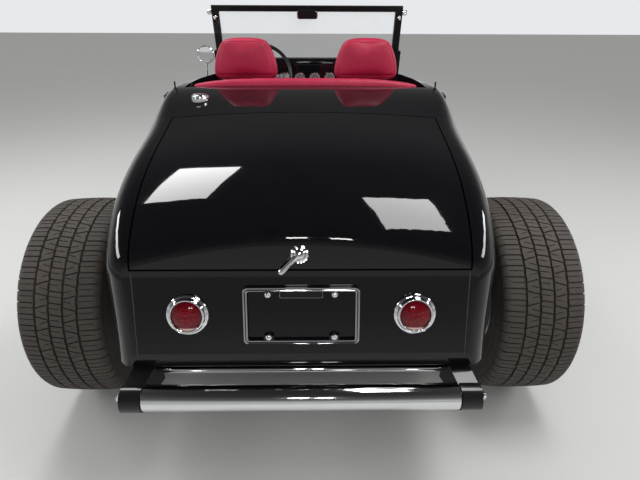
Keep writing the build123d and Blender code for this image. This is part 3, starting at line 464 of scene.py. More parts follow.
class Heap:
    # gathers mesh parts of one piece, each with the number of its finish
    def __init__(self):
        self.points = []
        self.faces = []
        self.kinds = []

    def add(self, points, faces, place=None, kind=0):
        base = len(self.points)
        move = place or Matrix.Identity(4)
        self.points += [tuple(move @ Vector(point)) for point in points]
        self.faces += [[base + index for index in face] for face in faces]
        self.kinds += [kind] * len(faces)

    def stack(self, rows, place=None, kind=0, loop=False):
        # rings of points, each joined to the next, with closed ends or joined to the first
        count = len(rows[0])
        faces = bands(len(rows), count, loop)
        if not loop:
            faces += caps(len(rows), count)
        self.add([point for row in rows for point in row], faces, place, kind)

    def lathe(self, profile, count=48, place=None, kind=0, closed=False):
        # profile of (radius, height) turned round z; a radius of 0 closes it
        points = []
        rings = []
        for radius, height in profile:
            if radius == 0:
                rings.append([len(points)] * count)
                points.append((0, 0, height))
                continue
            rings.append(list(range(len(points), len(points) + count)))
            points += [(*polar(radius, turn), height) for turn in turns(count)]
        faces = []
        for low, high in zip(rings, rings[1:] + (rings[:1] if closed else [])):
            for step in range(count):
                after = (step + 1) % count
                faces.append(list(dict.fromkeys((low[step], low[after], high[after], high[step]))))
        self.add(points, [face for face in faces if len(face) > 2], place, kind)

    def tube(self, path, radius, sides=12, closed=False, kind=0, place=None):
        # radius is one number, or a list with one for each point of the path
        spots = [Vector(point) for point in path]
        count = len(spots)
        sizes = radius if isinstance(radius, list) else [radius] * count
        rows = []
        across = None
        for index, spot in enumerate(spots):
            before = spots[index - 1] if index or closed else spot
            after = spots[(index + 1) % count] if index + 1 < count or closed else spot
            along = (after - before).normalized()
            if across is None:
                across = along.orthogonal().normalized()
            across = (across - along * across.dot(along)).normalized()
            other = along.cross(across)
            ring = [polar(sizes[index], turn) for turn in turns(sides)]
            rows.append([spot + across * x + other * y for x, y in ring])
        self.stack(rows, place, kind, closed)

    def slab(self, outline, low, high, place=None, kind=0, bevel=0.0):
        # an outline in x and y between two heights, with a chamfer inwards
        rows = [(outline, low), (outline, high)]
        if bevel:
            inner = []
            for index, spot in enumerate(outline):
                first = (Vector(spot) - Vector(outline[index - 1])).normalized()
                second = (Vector(outline[(index + 1) % len(outline)]) - Vector(spot)).normalized()
                side = Vector((-first.y - second.y, first.x + second.x)).normalized()
                inner.append(tuple(Vector(spot) + side * bevel))
            rows = [(inner, low), (outline, low + bevel), (outline, high - bevel), (inner, high)]
        self.stack([[(x, y, height) for x, y in row] for row, height in rows], place, kind)

    def bolt(self, place, across=0.012, height=0.006, kind=0):
        washer = ((0.78, 0), (0.78, 0.15))
        head = ((0.58, 0.1), (0.58, 0.8), (0.46, 1), (0, 1))
        for profile, count in ((washer, 24), (head, 6)):
            self.lathe([(across * wide, height * high) for wide, high in profile], count, place, kind)

    def piece(self, name, body, slot, angle=35, looks=(), stands=()):
        mesh = meshOf(name, self.points, self.faces)
        for look in looks or (slot,):
            mesh.materials.append(finishes[look])
        mesh.polygons.foreach_set("material_index", self.kinds)
        return finishPiece(name, mesh, body, angle, stands)


def finishPiece(name, mesh, body, angle, stands=()):
    shape = bmesh.new()
    shape.from_mesh(mesh)
    bmesh.ops.recalc_face_normals(shape, faces=shape.faces)
    shape.to_mesh(mesh)
    shape.free()
    mesh.polygons.foreach_set("use_smooth", [True] * len(mesh.polygons))
    mesh.update()
    mesh.set_sharp_from_angle(angle=math.radians(angle))
    piece = bpy.data.objects.new(name, mesh)
    scene.collection.objects.link(piece)
    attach(piece, body)
    if stands:
        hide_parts(*stands)
    return piece


def moved(x, y, z):
    return Matrix.Translation((x, y, z))


def aimed(place, normal):
    # z of the result points along normal
    turn = Vector((0, 0, 1)).rotation_difference(Vector(normal)).to_matrix().to_4x4()
    return Matrix.Translation(place) @ turn


def leaning(place, degrees):
    # x to the right, y up a face that leans forward by degrees, z out of it to the rear
    lean = math.radians(degrees)
    up = (0, math.sin(lean), math.cos(lean))
    out = (0, -math.cos(lean), math.sin(lean))
    return Matrix.Translation(place) @ Matrix(((1, 0, 0), up, out)).transposed().to_4x4()


def roundedOutline(wide, high, radius, count=6):
    half, tall = wide / 2 - radius, high / 2 - radius
    outline = []
    for index, (x, y) in enumerate(((half, tall), (-half, tall), (-half, -tall), (half, -tall))):
        for step in range(count + 1):
            across, up = polar(radius, (index + step / count) * math.pi / 2)
            outline.append((x + across, y + up))
    return outline


def boxOutline(x, y, wide, deep):
    return [(x - wide, y - deep), (x + wide, y - deep), (x + wide, y + deep), (x - wide, y + deep)]


# tyres: tread blocks cut by grooves and slanting slits, plain side walls with raised rings
tyreRows = {
    "rear": {"radius": 0.366, "width": 0.275, "rim": 0.200, "pitches": 62},
    "front": {"radius": 0.315, "width": 0.195, "rim": 0.192, "pitches": 50},
}
treadMaker = {
    "share": 0.80,  # of the tyre's width
    "ribs": 5, "ribPoints": 7, "crown": 0.005,
    "groove": (0.0078, 0.0085), "groovePlay": 0.0014,
    "slit": (0.0037, 0.0070), "sipe": (0.0019, 0.0048),  # width, depth
    "starts": (0.10, 0.58, 0.88),  # of slit, sipe and plain line, shares of a pitch
    "edge": 0.0005,
    "slant": (0.0010, 0.0062, 0.0032, -0.0062, -0.0010),  # for each rib, at its edges
    "phase": (0.0, 0.35, 0.12, 0.62, 0.5),  # shares of a pitch
    "shoulder": 0.034, "fade": 0.012,  # slits end this far below the tread
    "rings": ((0.17, 0.21), (0.56, 0.60), (0.66, 0.70)), "ring": 0.0016,  # on the side wall
}


def arcThrough(start, middle, end, count):
    # points on the circle through three points
    a, b, c = complex(*start), complex(*middle), complex(*end)
    bend = (c - a) / (b - a)
    centre = a + (b - a) * (bend - abs(bend) ** 2) / (2j * bend.imag)
    first = np.angle(a - centre)
    span = (np.angle(c - centre) - first + math.pi) % fullTurn - math.pi
    arms = [polar(abs(a - centre), first + span * step / count) for step in range(count + 1)]
    return [(centre.real + x, centre.imag + y) for x, y in arms]


def treadLines(row):
    # across the tread from left to right: x, radius, zone, sink
    tread = row["width"] / 2 * treadMaker["share"]
    ribs = treadMaker["ribs"]
    wide, deep = treadMaker["groove"]
    middles = [(number - ribs / 2) * 2 * tread / ribs for number in range(1, ribs)]
    starts = [-tread] + [x + wide / 2 for x in middles]
    ends = [x - wide / 2 for x in middles] + [tread]
    lines = []
    for start, end in zip(starts, ends):
        lines += [(x, "rib", 0.0) for x in np.linspace(start, end, treadMaker["ribPoints"])]
        if end < tread:
            lines += [(end + wide * share, "groove", deep) for share in (0.16, 0.84)]
    radius, crown = row["radius"], treadMaker["crown"]
    return [(x, radius - crown * (x / tread) ** 2, zone, sink) for x, zone, sink in lines]


def tyreLines(row):
    radius, half, rim = row["radius"], row["width"] / 2, row["rim"]
    tread, tall = half * treadMaker["share"], radius - rim
    bend = (half - 0.006, radius - tall * 0.22)
    edge = (tread, radius - treadMaker["crown"])
    shoulder = arcThrough(edge, (half - 0.016, radius - tall * 0.06), bend, 8)
    side = arcThrough(bend, (half, rim + tall * 0.45), (half * 0.80, rim), 22)
    right = [(x, reach, "shoulder", 0.0) for x, reach in shoulder[1:]]
    for x, reach in side[1:]:
        share = (reach - rim) / tall
        inRing = any(low < share < high for low, high in treadMaker["rings"])
        right.append((x - (treadMaker["ring"] if inRing else 0.0), reach, "wall", 0.0))
    left = [(-x, reach, zone, sink) for x, reach, zone, sink in right[::-1]]
    return left + treadLines(row) + right


def treadMarks(row):
    # round the tyre: angle, depth of cut, which way it leans, whether it is a fine sipe
    radius, pitch = row["radius"], fullTurn / row["pitches"]
    edge = treadMaker["edge"] / radius
    slitStart, sipeStart, plainStart = treadMaker["starts"]
    marks = []
    for number in range(row["pitches"]):
        way = 1 if number % 2 else -1
        for start, cut, lean in ((slitStart, "slit", way), (sipeStart, "sipe", -way)):
            wide, deep = treadMaker[cut]
            first = (number + start) * pitch
            last = first + edge + wide / radius
            for turn, depth in ((first, 0), (first + edge, deep), (last, deep), (last + edge, 0)):
                marks.append((turn, depth, lean, cut == "sipe"))
        marks.append(((number + plainStart) * pitch, 0, 0, False))
    return marks


def ribPlace(x, row):
    # rib number and how far across it, from -1 to 1
    tread = row["width"] * treadMaker["share"]
    spot = (x + tread / 2) / (tread / treadMaker["ribs"])
    spot = min(treadMaker["ribs"] - 0.001, max(0.0, spot))
    return int(spot), (spot % 1) * 2 - 1


def cutOf(line, mark, row):
    # shift along the tread and depth of a cut at one line of the tyre
    x, reach, zone, _ = line
    _, depth, lean, fine = mark
    slants = treadMaker["slant"]
    long = fullTurn / row["pitches"] * row["radius"]
    phases = [share * long for share in treadMaker["phase"]]
    edge, sign = (4, 1) if x > 0 else (0, -1)
    if zone == "wall":
        return phases[edge], 0
    if zone == "shoulder":
        share = (reach - (row["radius"] - treadMaker["shoulder"])) / treadMaker["fade"]
        return slants[edge] * sign + phases[edge], 0 if fine else depth * max(0.0, min(1.0, share))
    if zone == "groove":
        aside = row["width"] * 0.08
        return (phases[ribPlace(x + aside, row)[0]] + phases[ribPlace(x - aside, row)[0]]) / 2, 0
    number, share = ribPlace(x, row)
    between = number in (1, 3)
    inward = share * (1 if number == 1 else -1)
    if fine and (between and inward < -0.25 or number == 2 and share > 0.3):
        depth = 0
    return slants[number] * (lean if between else 1) * share + phases[number], depth


def buildTyre(name, row, body, centre, node):
    lines = tyreLines(row)
    radius, pitch = row["radius"], fullTurn / row["pitches"]
    edge = row["width"] / 2 * treadMaker["share"] - 0.004
    waving = [
        zone == "groove" or zone == "rib" and abs(x) < edge and abs(ribPlace(x, row)[1]) > 0.7
        for x, _, zone, _ in lines
    ]
    rows = []
    for mark in treadMarks(row):
        turn = mark[0]
        play = treadMaker["groovePlay"] * (abs((turn / pitch * 2) % 2 - 1) * 2 - 1)
        ring = []
        for line, waves in zip(lines, waving):
            x, reach, _, sink = line
            shift, depth = cutOf(line, mark, row)
            ring.append((x + (play if waves else 0.0), *polar(reach - sink - depth, turn + shift / radius)))
        rows.append(ring)
    heap = Heap()
    heap.stack(rows, Matrix.Translation(centre), loop=True)
    heap.piece(name, body, "tyre", 32, stands=(node,))


tyrePlaces = {}
for end in ("rear", "front"):
    for side, _ in bothSides:
        node = f"tyre_{end}_{side}"
        low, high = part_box(node)
        centre = (low + high) / 2
        tyrePlaces[(end, side)] = centre
        buildTyre(f"{end}Tyre{side.capitalize()}", tyreRows[end], f"wheel_{end}_{side}", centre, node)
print("tyres cut")


# seats: leather pads blown up from a smaller shape, then sewn
seatMaker = {
    "x": 0.272, "frames": 16, "piping": 0.0036,
    "stitch": 0.0055, "gap": 0.0035, "thread": [0.0003, 0.0008, 0.0003],
    "channel": {"pitch": 0.058, "deep": 0.0075, "wide": 0.0055, "border": 0.035, "facing": 0.35},
    "cushion": {
        "half": (0.226, 0.214), "low": 0.472, "high": 0.628, "reach": 0.012, "voxel": 0.0094, "calm": 12,
    },
    "back": {
        "half": (0.218, 0.050), "low": 0.60, "high": 1.042, "reach": 0.011, "voxel": 0.008, "calm": 14,
    },
    "headrest": {
        "half": (0.141, 0.050), "low": 1.067, "high": 1.239, "reach": 0.008, "voxel": 0.008, "calm": 34,
        "seam": 0.034, "middle": 1.153,
    },
}
cushionY = ahead(1006)
headrestY = ahead(695)
clothSettings = {
    "quality": 5, "mass": 0.3, "tension_stiffness": 12, "compression_stiffness": 12,
    "bending_stiffness": 1.5, "use_pressure": True, "uniform_pressure_force": 4.0,
}


def padRings(pad, shape, count, power):
    # rings of (height, middle y, half width, half depth); shape gives the last three
    rings = []
    for step in range(count + 1):
        share = step / count
        swell = (1 - abs(2 * share - 1) ** power) ** (1 / power)
        middle, halfX, halfY = shape(share)
        height = pad["low"] + (pad["high"] - pad["low"]) * share
        rings.append((height, middle, halfX * (0.72 + 0.28 * swell), halfY * (0.45 + 0.55 * swell)))
    return rings


def evaluated(work):
    return bpy.data.meshes.new_from_object(work.evaluated_get(bpy.context.evaluated_depsgraph_get()))


def pointsOf(mesh):
    flat = np.empty(len(mesh.vertices) * 3)
    mesh.vertices.foreach_get("co", flat)
    return flat.reshape(-1, 3)


def blowUp(work, reach):
    # a short cloth run with pressure; no point moves further than reach
    cloth = work.modifiers.new("cloth", "CLOTH")
    for name, value in clothSettings.items():
        setattr(cloth.settings, name, value)
    cloth.settings.effector_weights.gravity = 0
    cloth.point_cache.frame_start = 1
    cloth.point_cache.frame_end = seatMaker["frames"]
    for number in range(1, seatMaker["frames"] + 1):
        scene.frame_set(number)
    start = pointsOf(work.data)
    shift = pointsOf(evaluated(work)) - start
    size = np.linalg.norm(shift, axis=1, keepdims=True)
    shift *= np.minimum(1.0, reach / np.maximum(size, 1e-9))
    work.data.vertices.foreach_set("co", (start + shift).ravel())
    work.modifiers.clear()
    scene.frame_set(1)


def puffed(name, pad, rings, power, count=56):
    # rings made even by a voxel remesh, blown up, smoothed and divided once
    points = []
    for height, middle, halfX, halfY in rings:
        for x, y in (squircle(turn, power) for turn in turns(count)):
            points.append((halfX * x, middle + halfY * y, height))
    faces = bands(len(rings), count) + caps(len(rings), count)
    work = bpy.data.objects.new(name + "Work", meshOf(name, points, faces))
    scene.collection.objects.link(work)
    remesh = work.modifiers.new("remesh", "REMESH")
    remesh.mode = "VOXEL"
    remesh.voxel_size = pad["voxel"]
    even = evaluated(work)
    work.modifiers.clear()
    work.data = even
    blowUp(work, pad["reach"])
    relax = work.modifiers.new("relax", "SMOOTH")
    relax.factor = 0.5
    relax.iterations = pad["calm"]
    finer = work.modifiers.new("finer", "SUBSURF")
    finer.levels = 1
    result = evaluated(work)
    bpy.data.objects.remove(work)
    print("pad", name, len(result.polygons), "faces")
    return result


def pressLines(mesh, depthAt):
    # moves each point against its normal by depthAt(point, normal)
    mesh.update()
    for point in mesh.vertices:
        depth = depthAt(point.co, point.normal)
        if depth:
            point.co -= point.normal * depth
    mesh.update()


def softPiece(name, mesh):
    mesh.materials.clear()
    mesh.materials.append(finishes["red_leather"])
    piece = finishPiece(name, mesh, "chassis", 60, ("seats",))


def treeOf(mesh):
    faces = [list(face.vertices) for face in mesh.polygons]
    return BVHTree.FromPolygons([point.co for point in mesh.vertices], faces)


def onSurface(tree, path, lift=0.0):
    spots = []
    for point in path:
        near, normal, _, _ = tree.find_nearest(Vector(point))
        spots.append(near + normal * lift)
    return spots


def sewOn(heap, tree, path, closed=False, place=None, kind=0):
    # stitches laid end to end along a path on the surface
    spots = onSurface(tree, path, 0.0004)
    if closed:
        spots.append(spots[0])
    stride = seatMaker["stitch"] + seatMaker["gap"]
    travelled = 0.0
    last = 0.0
    for first, second in zip(spots, spots[1:]):
        span = (second - first).length
        while last + stride < travelled + span:
            last += stride
            along = (second - first).normalized()
            middle = first + along * (last - travelled)
            reach = along * seatMaker["stitch"] / 2
            line = [middle - reach, middle, middle + reach]
            heap.tube(line, seatMaker["thread"], 6, kind=kind, place=place)
        travelled += span


def cushionShape(_):
    return cushionY, *seatMaker["cushion"]["half"]


def backShape(share):
    halfX, halfY = seatMaker["back"]["half"]
    lean = np.interp(share, (0, 0.22, 1), (ahead(722), ahead(722), ahead(697)))
    return lean, halfX * np.interp(share, (0, 0.7, 1), (1.0, 1.0, 0.93)), halfY


def headrestShape(share):
    halfX, halfY = seatMaker["headrest"]["half"]
    shares = (0, 0.07, 0.16, 0.35, 0.55, 0.75, 0.88, 1.0)
    wide = np.interp(share, shares, (0.99, 1.025, 1.035, 1.01, 0.95, 0.855, 0.775, 0.71))
    return headrestY, halfX * wide, halfY


def channelDepth(x, facing, halfWide):
    # sewn channels on the faces that look towards the rider
    channel = seatMaker["channel"]
    if facing < channel["facing"] or abs(x) > halfWide - channel["border"]:
        return 0.0
    local = ((x / channel["pitch"] + 0.5) % 1.0 - 0.5) * channel["pitch"]
    return channel["deep"] * bell(local, channel["wide"]) * min(1, (facing - channel["facing"]) * 3)


def headrestDepth(point):
    # a sewn edge all round the back and the front face
    rest = seatMaker["headrest"]
    side = abs(point.y - headrestY)
    foot = 0.0030 * bell(point.z - rest["low"] - 0.024, 0.0035) if side > rest["seam"] else 0.0
    return 0.0026 * bell(side - rest["seam"], 0.0035) + foot


def padMeshes():
    # one mesh for each kind of pad, in the middle of the car
    cushion, back, rest = seatMaker["cushion"], seatMaker["back"], seatMaker["headrest"]
    cushionMesh = puffed("seatCushion", cushion, padRings(cushion, cushionShape, 12, 3.2), 5)
    backMesh = puffed("seatBack", back, padRings(back, backShape, 26, 6), 4)
    restMesh = puffed("headrest", rest, padRings(rest, headrestShape, 24, 5.5), 4.6)
    front, top = ahead(1195), 0.99
    cushionHalf, backHalf = cushion["half"][0], back["half"][0]
    pressLines(cushionMesh, lambda p, n: channelDepth(p.x, n.z, cushionHalf) if p.y < front else 0)
    pressLines(backMesh, lambda p, n: channelDepth(p.x, n.y, backHalf) if p.z < top else 0)
    pressLines(restMesh, lambda p, n: headrestDepth(p))
    return cushionMesh, backMesh, restMesh


def sewHeadrest(sewing, tree, shift):
    # piping round both faces, found by rays towards the middle, with a row of stitches inside it
    rest = seatMaker["headrest"]
    middle = rest["middle"]
    for faceY in (headrestY - rest["seam"], headrestY + rest["seam"]):
        spots = []
        for turn in turns(120):
            start = Vector((0.20 * math.cos(turn), faceY, middle + 0.14 * math.sin(turn)))
            hit = tree.ray_cast(start, (Vector((0, faceY, middle)) - start).normalized())[0]
            if hit is not None:
                spots.append(hit)
        sewing.tube(spots, seatMaker["piping"], 8, closed=True, place=shift)
        push = math.copysign(0.010, faceY - headrestY)
        inner = [(spot.x * 0.955, spot.y + push, middle + (spot.z - middle) * 0.94) for spot in spots]
        sewOn(sewing, tree, inner, True, shift, 1)


def buildSeats():
    cushionMesh, backMesh, restMesh = padMeshes()
    cushionTree, backTree, restTree = treeOf(cushionMesh), treeOf(backMesh), treeOf(restMesh)
    pads = (("seatCushion", cushionMesh, 0.7), ("seatBack", backMesh, 0.75), ("headrest", restMesh, 0.85))
    seams = ((backTree, ahead(790), 0.995), (backTree, ahead(600), 0.97), (cushionTree, ahead(1195), 0.70))
    for side, sign in bothSides:
        side = side.capitalize()
        shift = moved(sign * seatMaker["x"], 0, 0)
        for title, source, fill in pads:
            mesh = source.copy()
            mesh.transform(shift)
            softPiece(title + side, mesh)
        sewing = Heap()
        sewHeadrest(sewing, restTree, shift)
        for tree, y, z in seams:
            sewOn(sewing, tree, [(x, y, z) for x in np.linspace(-0.19, 0.19, 60)], False, shift, 1)
        edge = [squircle(turn, 5) for turn in turns(140)]
        edge = onSurface(cushionTree, [(0.222 * x, cushionY + 0.210 * y, 0.632) for x, y in edge])
        sewing.tube(edge, seatMaker["piping"], 8, closed=True, place=shift)
        sewing.piece(f"seatSewing{side}", "chassis", "red_leather", 50, ("red_leather", "thread"))
        stalks = Heap()
        for x in (-0.06, 0.06):
            stalks.tube([(x, headrestY, 1.02), (x, headrestY, 1.10)], 0.006, 20, place=shift)
            collar = mm((6, 0), (13, 0), (14, 3), (12, 7), (6, 8))
            stalks.lathe(collar, 28, shift @ moved(x, headrestY, 1.050))
        stalks.piece(f"headrestStalks{side}", "chassis", "chrome", 40)


rollMaker = {
    "half": 0.486, "y": ahead(582), "top": 1.0875, "drop": 0.027, "radius": 0.0235, "rings": 80,
    "sides": 28, "crease": 0.122, "creaseDeep": 0.0016,
}


def buildTrimRoll():
    # the padded roll behind the seats, arched over the tulip panel
    half, rings, sides, pitch = (rollMaker[name] for name in ("half", "rings", "sides", "crease"))
    points = []
    for step in range(rings + 1):
        x = -half + 2 * half * step / rings
        share = abs(x) / half
        inside = 0.02 < step / rings < 0.98
        radius = rollMaker["radius"] * (1 - 0.42 * share ** 3) * (1.0 if inside else 0.8)
        middle = rollMaker["top"] - rollMaker["drop"] * share ** 4 - radius * 1.32
        for y, z in (polar(radius, turn) for turn in turns(sides)):
            points.append((x, rollMaker["y"] + y * 0.98, middle + z * 1.32))
    ends = [cap[::-1] for cap in caps(rings + 1, sides)]
    mesh = meshOf("cockpitRoll", points, bands(rings + 1, sides) + ends)
    deep = rollMaker["creaseDeep"]
    pressLines(mesh, lambda p, n: deep * bell(((p.x / pitch + 0.5) % 1 - 0.5) * pitch, 0.004))
    softPiece("cockpitRoll", mesh)
    stitched = Heap()
    xs = np.linspace(-0.47, 0.47, 160)
    path = [(x, rollMaker["y"] - 0.014, 1.11 - 0.026 * (abs(x) / half) ** 4) for x in xs]
    sewOn(stitched, treeOf(mesh), path)
    stitched.piece("rollStitches", "chassis", "red_leather", 50, ("thread",))


buildSeats()
buildTrimRoll()
print("seats padded")


# tail lamps: stepped bright bezel and a moulded red lens
def onTail(x, up=0.0, out=0.0):
    # z of the result points out of the panel, y up along it, x to the right
    return leaning((0, ahead(-500), 0.618), 15.1) @ moved(x, up, out)


def buildTailLamps():
    steps, dome, fall = lampMaker["steps"], lampMaker["dome"], lampMaker["fall"]
    shares = [step / steps for step in range(steps + 1)]
    face = [(lampMaker["lens"] * share, dome - fall * share ** 2.2) for share in shares]
    for side, sign in bothSides:
        place = onTail(sign * lampMaker["x"], lampMaker["up"])
        bezel = Heap()
        bezel.lathe(lampMaker["bezel"], lampMaker["count"], place)
        bezel.piece(f"tailBezel{side.capitalize()}", "chassis", "chrome", 60, stands=("tail_lamp_bezels",))
        lens = Heap()
        lens.lathe(face + lampMaker["foot"], lampMaker["count"], place)
        lens.piece(f"tailLens{side.capitalize()}", "chassis", "ruby_glass", 30, stands=("tail_lamp_lenses",))


# blank plate frame: rounded border with a band, pads and dome bolts
plateMaker = {
    "wide": 0.312, "high": 0.160, "border": 0.011, "thick": 0.005, "standoff": 0.0075, "lip": 0.0022,
    "bolts": (0.178, 0.121), "bandUp": 0.0605, "band": (0.117, 0.022), "window": (0.113, 0.018),
    "pad": (0.028, 0.022), "padUp": 0.066,
    "bolt": mm((7.8, 0), (8, 1.2), (6.4, 1.6), (6.2, 3.4), (5, 4.6), (2.6, 5.3), (0, 5.5)),
}


def buildPlateFrame():
    maker = plateMaker
    wide, high, border = maker["wide"], maker["high"], maker["border"]
    base = maker["standoff"]
    top = base + maker["thick"]
    outer = roundedOutline(wide, high, 0.012)
    inner = roundedOutline(wide - 2 * border, high - 2 * border, 0.006)
    section = (
        (outer, 0, base), (outer, 0, top - 0.0012), (outer, -1, top), (outer, -2, top - 0.0007),
        (inner, 2, top - 0.0007), (inner, 1, top), (inner, 0, top - 0.0012), (inner, 0, base),
    )  # outline, lips it grows by, height
    rows = []
    for outline, grow, height in section:
        wideShare = 1 + grow * maker["lip"] / (wide / 2)
        highShare = 1 + grow * maker["lip"] / (high / 2)
        rows.append([(x * wideShare, y * highShare, height) for x, y in outline])
    heap = Heap()
    brightBands = (1, 2, 4, 5)
    for index, row in enumerate(rows):
        after = rows[(index + 1) % len(rows)]
        heap.add(row + after, bands(2, len(row)), onTail(0), 1 if index in brightBands else 0)
    bandPlace = onTail(0, maker["bandUp"])
    heap.slab(roundedOutline(*maker["band"], 0.004), base, top - 0.0012, bandPlace, 1, 0.0012)
    heap.slab(roundedOutline(*maker["window"], 0.003), top - 0.002, top - 0.0008, bandPlace, 0, 0.0004)
    bolts = Heap()
    for sideways in (-1, 1):
        for upwards in (-1, 1):
            x, y = sideways * maker["bolts"][0] / 2, upwards * maker["bolts"][1] / 2
            pad = onTail(x, upwards * maker["padUp"])
            heap.slab(roundedOutline(*maker["pad"], 0.006), base, top - 0.0008, pad, 0, 0.001)
            head = [(radius, top + height) for radius, height in maker["bolt"]]
            bolts.lathe([(0.0065, 0.0), (0.0065, top - 0.0004)] + head, 36, onTail(x, y))
    heap.piece("plateFrame", "chassis", "frame_black", 40, ("gloss", "darkChrome"), ("licence_frame",))
    bolts.piece("plateBolts", "chassis", "chrome", 50)


buildTailLamps()
buildPlateFrame()


# lid handle: turned boss with beads round it and a ribbed, tapering lever
handleMaker = {
    "lean": 28.3, "place": (-0.004, ahead(-447), 0.776), "lever": 0.078, "turn": 225.0,
    "sides": 20, "rings": 24,
    "boss": mm(
        (23.5, -12), (23.5, 10), (24, 13), (23.6, 16), (21.5, 18.5), (18.5, 19.5), (17, 21.5), (16, 23.5),
        (16.5, 26.2), (15, 30), (11.8, 32.8), (7, 34.5), (0, 35),
    ),
    "wide": ((0, 0.12, 0.5, 0.85, 0.96, 1), (0.0095, 0.0088, 0.0068, 0.0082, 0.0066, 0.002)),
    "thick": ((0, 0.3, 0.85, 0.96, 1), (0.0075, 0.0062, 0.0048, 0.0036, 0.0012)),
    "beads": 18, "ribs": (-0.0045, 0.0, 0.0045),
}


def buildLidHandle():
    maker = handleMaker
    place = leaning(maker["place"], maker["lean"])
    heap = Heap()
    heap.lathe(maker["boss"], 64, place)
    for turn in turns(maker["beads"]):
        heap.tube([(*polar(0.0232, turn), 0.002), (*polar(0.0226, turn), 0.0165)], 0.0017, 8, place=place)
    lever = place @ Matrix.Rotation(math.radians(maker["turn"]), 4, "Z")
    rows = []
    for step in range(maker["rings"] + 1):
        share = step / maker["rings"]
        x = 0.004 + (maker["lever"] - 0.008) * share
        wide = np.interp(share, *maker["wide"])
        thick = np.interp(share, *maker["thick"])
        middle = 0.0262 - 0.003 * share
        ring = []
        for across, up in (polar(1.0, turn) for turn in turns(maker["sides"])):
            ring.append((x, wide * across, middle + thick * up * (1.16 if up > 0.92 else 1.0)))
        rows.append(ring)
    heap.stack(rows, lever)
    for y in maker["ribs"]:
        drop = abs(y) * 0.25
        path = [(0.02, y, 0.0322 - drop), (0.05, y * 0.85, 0.0305 - drop), (0.068, y * 0.8, 0.0285)]
        heap.tube(path, [0.0008, 0.0011, 0.0006], 8, place=lever)
    heap.piece("lidHandle", "deck_lid", "chrome", 40, stands=("deck_handle",))


buildLidHandle()


# fuel cap: low dome with a knurled edge on a bright ring; heights are below the top
capMaker = {
    "profile": mm(
        (35.4, 16.5), (35, 14.5), (32.5, 13.8), (31.5, 12.5), (31.6, 5.2), (30.6, 3), (28, 1.6), (20, 0.6),
        (10, 0.1), (0, 0),
    ),
    "foot": 0.0352, "knurls": 40, "knurlRing": 0.0313,
}


def buildFuelCap():
    low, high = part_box("fuel_cap")
    middle = (low + high) / 2
    place = moved(middle.x, middle.y, 0)
    top = high.z
    heap = Heap()
    profile = [(radius, top - down) for radius, down in capMaker["profile"]]
    heap.lathe([(capMaker["foot"], low.z)] + profile, 96, place)
    for turn in turns(capMaker["knurls"]):
        x, y = polar(capMaker["knurlRing"], turn)
        heap.tube([(x, y, top - 0.0122), (x, y, top - 0.0050)], 0.0013, 8, place=place)
    grip = place @ Matrix.Rotation(0.4, 4, "Z")
    heap.slab(roundedOutline(0.050, 0.010, 0.0049), top - 0.003, top, grip, 0, 0.0012)
    heap.piece("fuelCap", "chassis", "chrome", 50, stands=("fuel_cap",))


buildFuelCap()
print("tail fittings made")


# wheels: five dished spokes, rolled lips, finned drum, nuts and a plain cap
wheelMaker = {
    "spokes": 5, "rings": 18, "sides": 28, "face": 0.043, "thick": 0.028, "start": 0.034, "rimGap": 0.021,
    "spokeHalf": ((0.0, 0.25, 0.6, 0.85, 1.0), (0.030, 0.0245, 0.0195, 0.0215, 0.030)),
    "outerLip": mm(
        (0, 4), (1, 1), (4, 0), (9.5, 0.4), (12, 3), (12.8, 8.5), (14, 12.5), (21.5, 15), (23.2, 18),
        (23.6, 26),
    ),  # inwards from the rim and from its outer edge
    "innerLip": mm((23.6, 20), (18.5, 13), (12.5, 6), (10.5, 0.6), (4, 0), (0, 4)), "barrel": 0.0236,
    "hub": mm((0, -30), (49.5, -30), (50, 40), (49, 45), (46.5, 46.2), (29, 46.2), (0, 46.2)),
    "cap": mm(
        (29.6, 45), (29.6, 49.5), (27.8, 52), (26.2, 53.2), (25.8, 61.5), (23.5, 66.2), (17, 68.8),
        (8, 69.7), (0, 69.9),
    ),
    "nutRing": 0.0400, "nutSeat": mm((9, 0), (9, 1.2), (8.2, 2)),
    "nut": mm((8.2, 1), (8.2, 11.5), (6.2, 15), (3, 17.2), (0, 17.8)),
    "drum": mm((54, -1), (122, -1), (130, -2.2)), "drumBack": mm((137.4, -58.5), (128, -59.8), (54, -59.8)),
    "fins": 9, "finFirst": -0.0045, "finPitch": 0.0058,
    "fin": mm((137.4, 0), (137.4, -2.2), (131.8, -2.6), (131.8, -5.4)),
}


def spokeRows(rim):
    # rings along one spoke, from the hub to the rim, with a shallow trough in its face
    maker = wheelMaker
    rows = []
    for step in range(maker["rings"] + 1):
        share = step / maker["rings"]
        reach = maker["start"] + (rim - maker["rimGap"] - maker["start"]) * share
        wide = np.interp(share, *maker["spokeHalf"])
        top = maker["face"] + 0.0030 * (2 * share - 1) ** 2 - 0.0035 * math.sin(math.pi * share)
        trough = 0.0042 * math.sin(math.pi * min(1, share * 1.15)) ** 0.5
        ring = []
        for turn in turns(maker["sides"]):
            across, up = squircle(turn, 3.2)
            z = top + maker["thick"] / 2 * (up - 1)
            if math.sin(turn) > 0.3:
                z -= trough * math.exp(-((across / 0.45) ** 4))
            ring.append((reach, wide * across, z))
        rows.append(ring)
    return rows


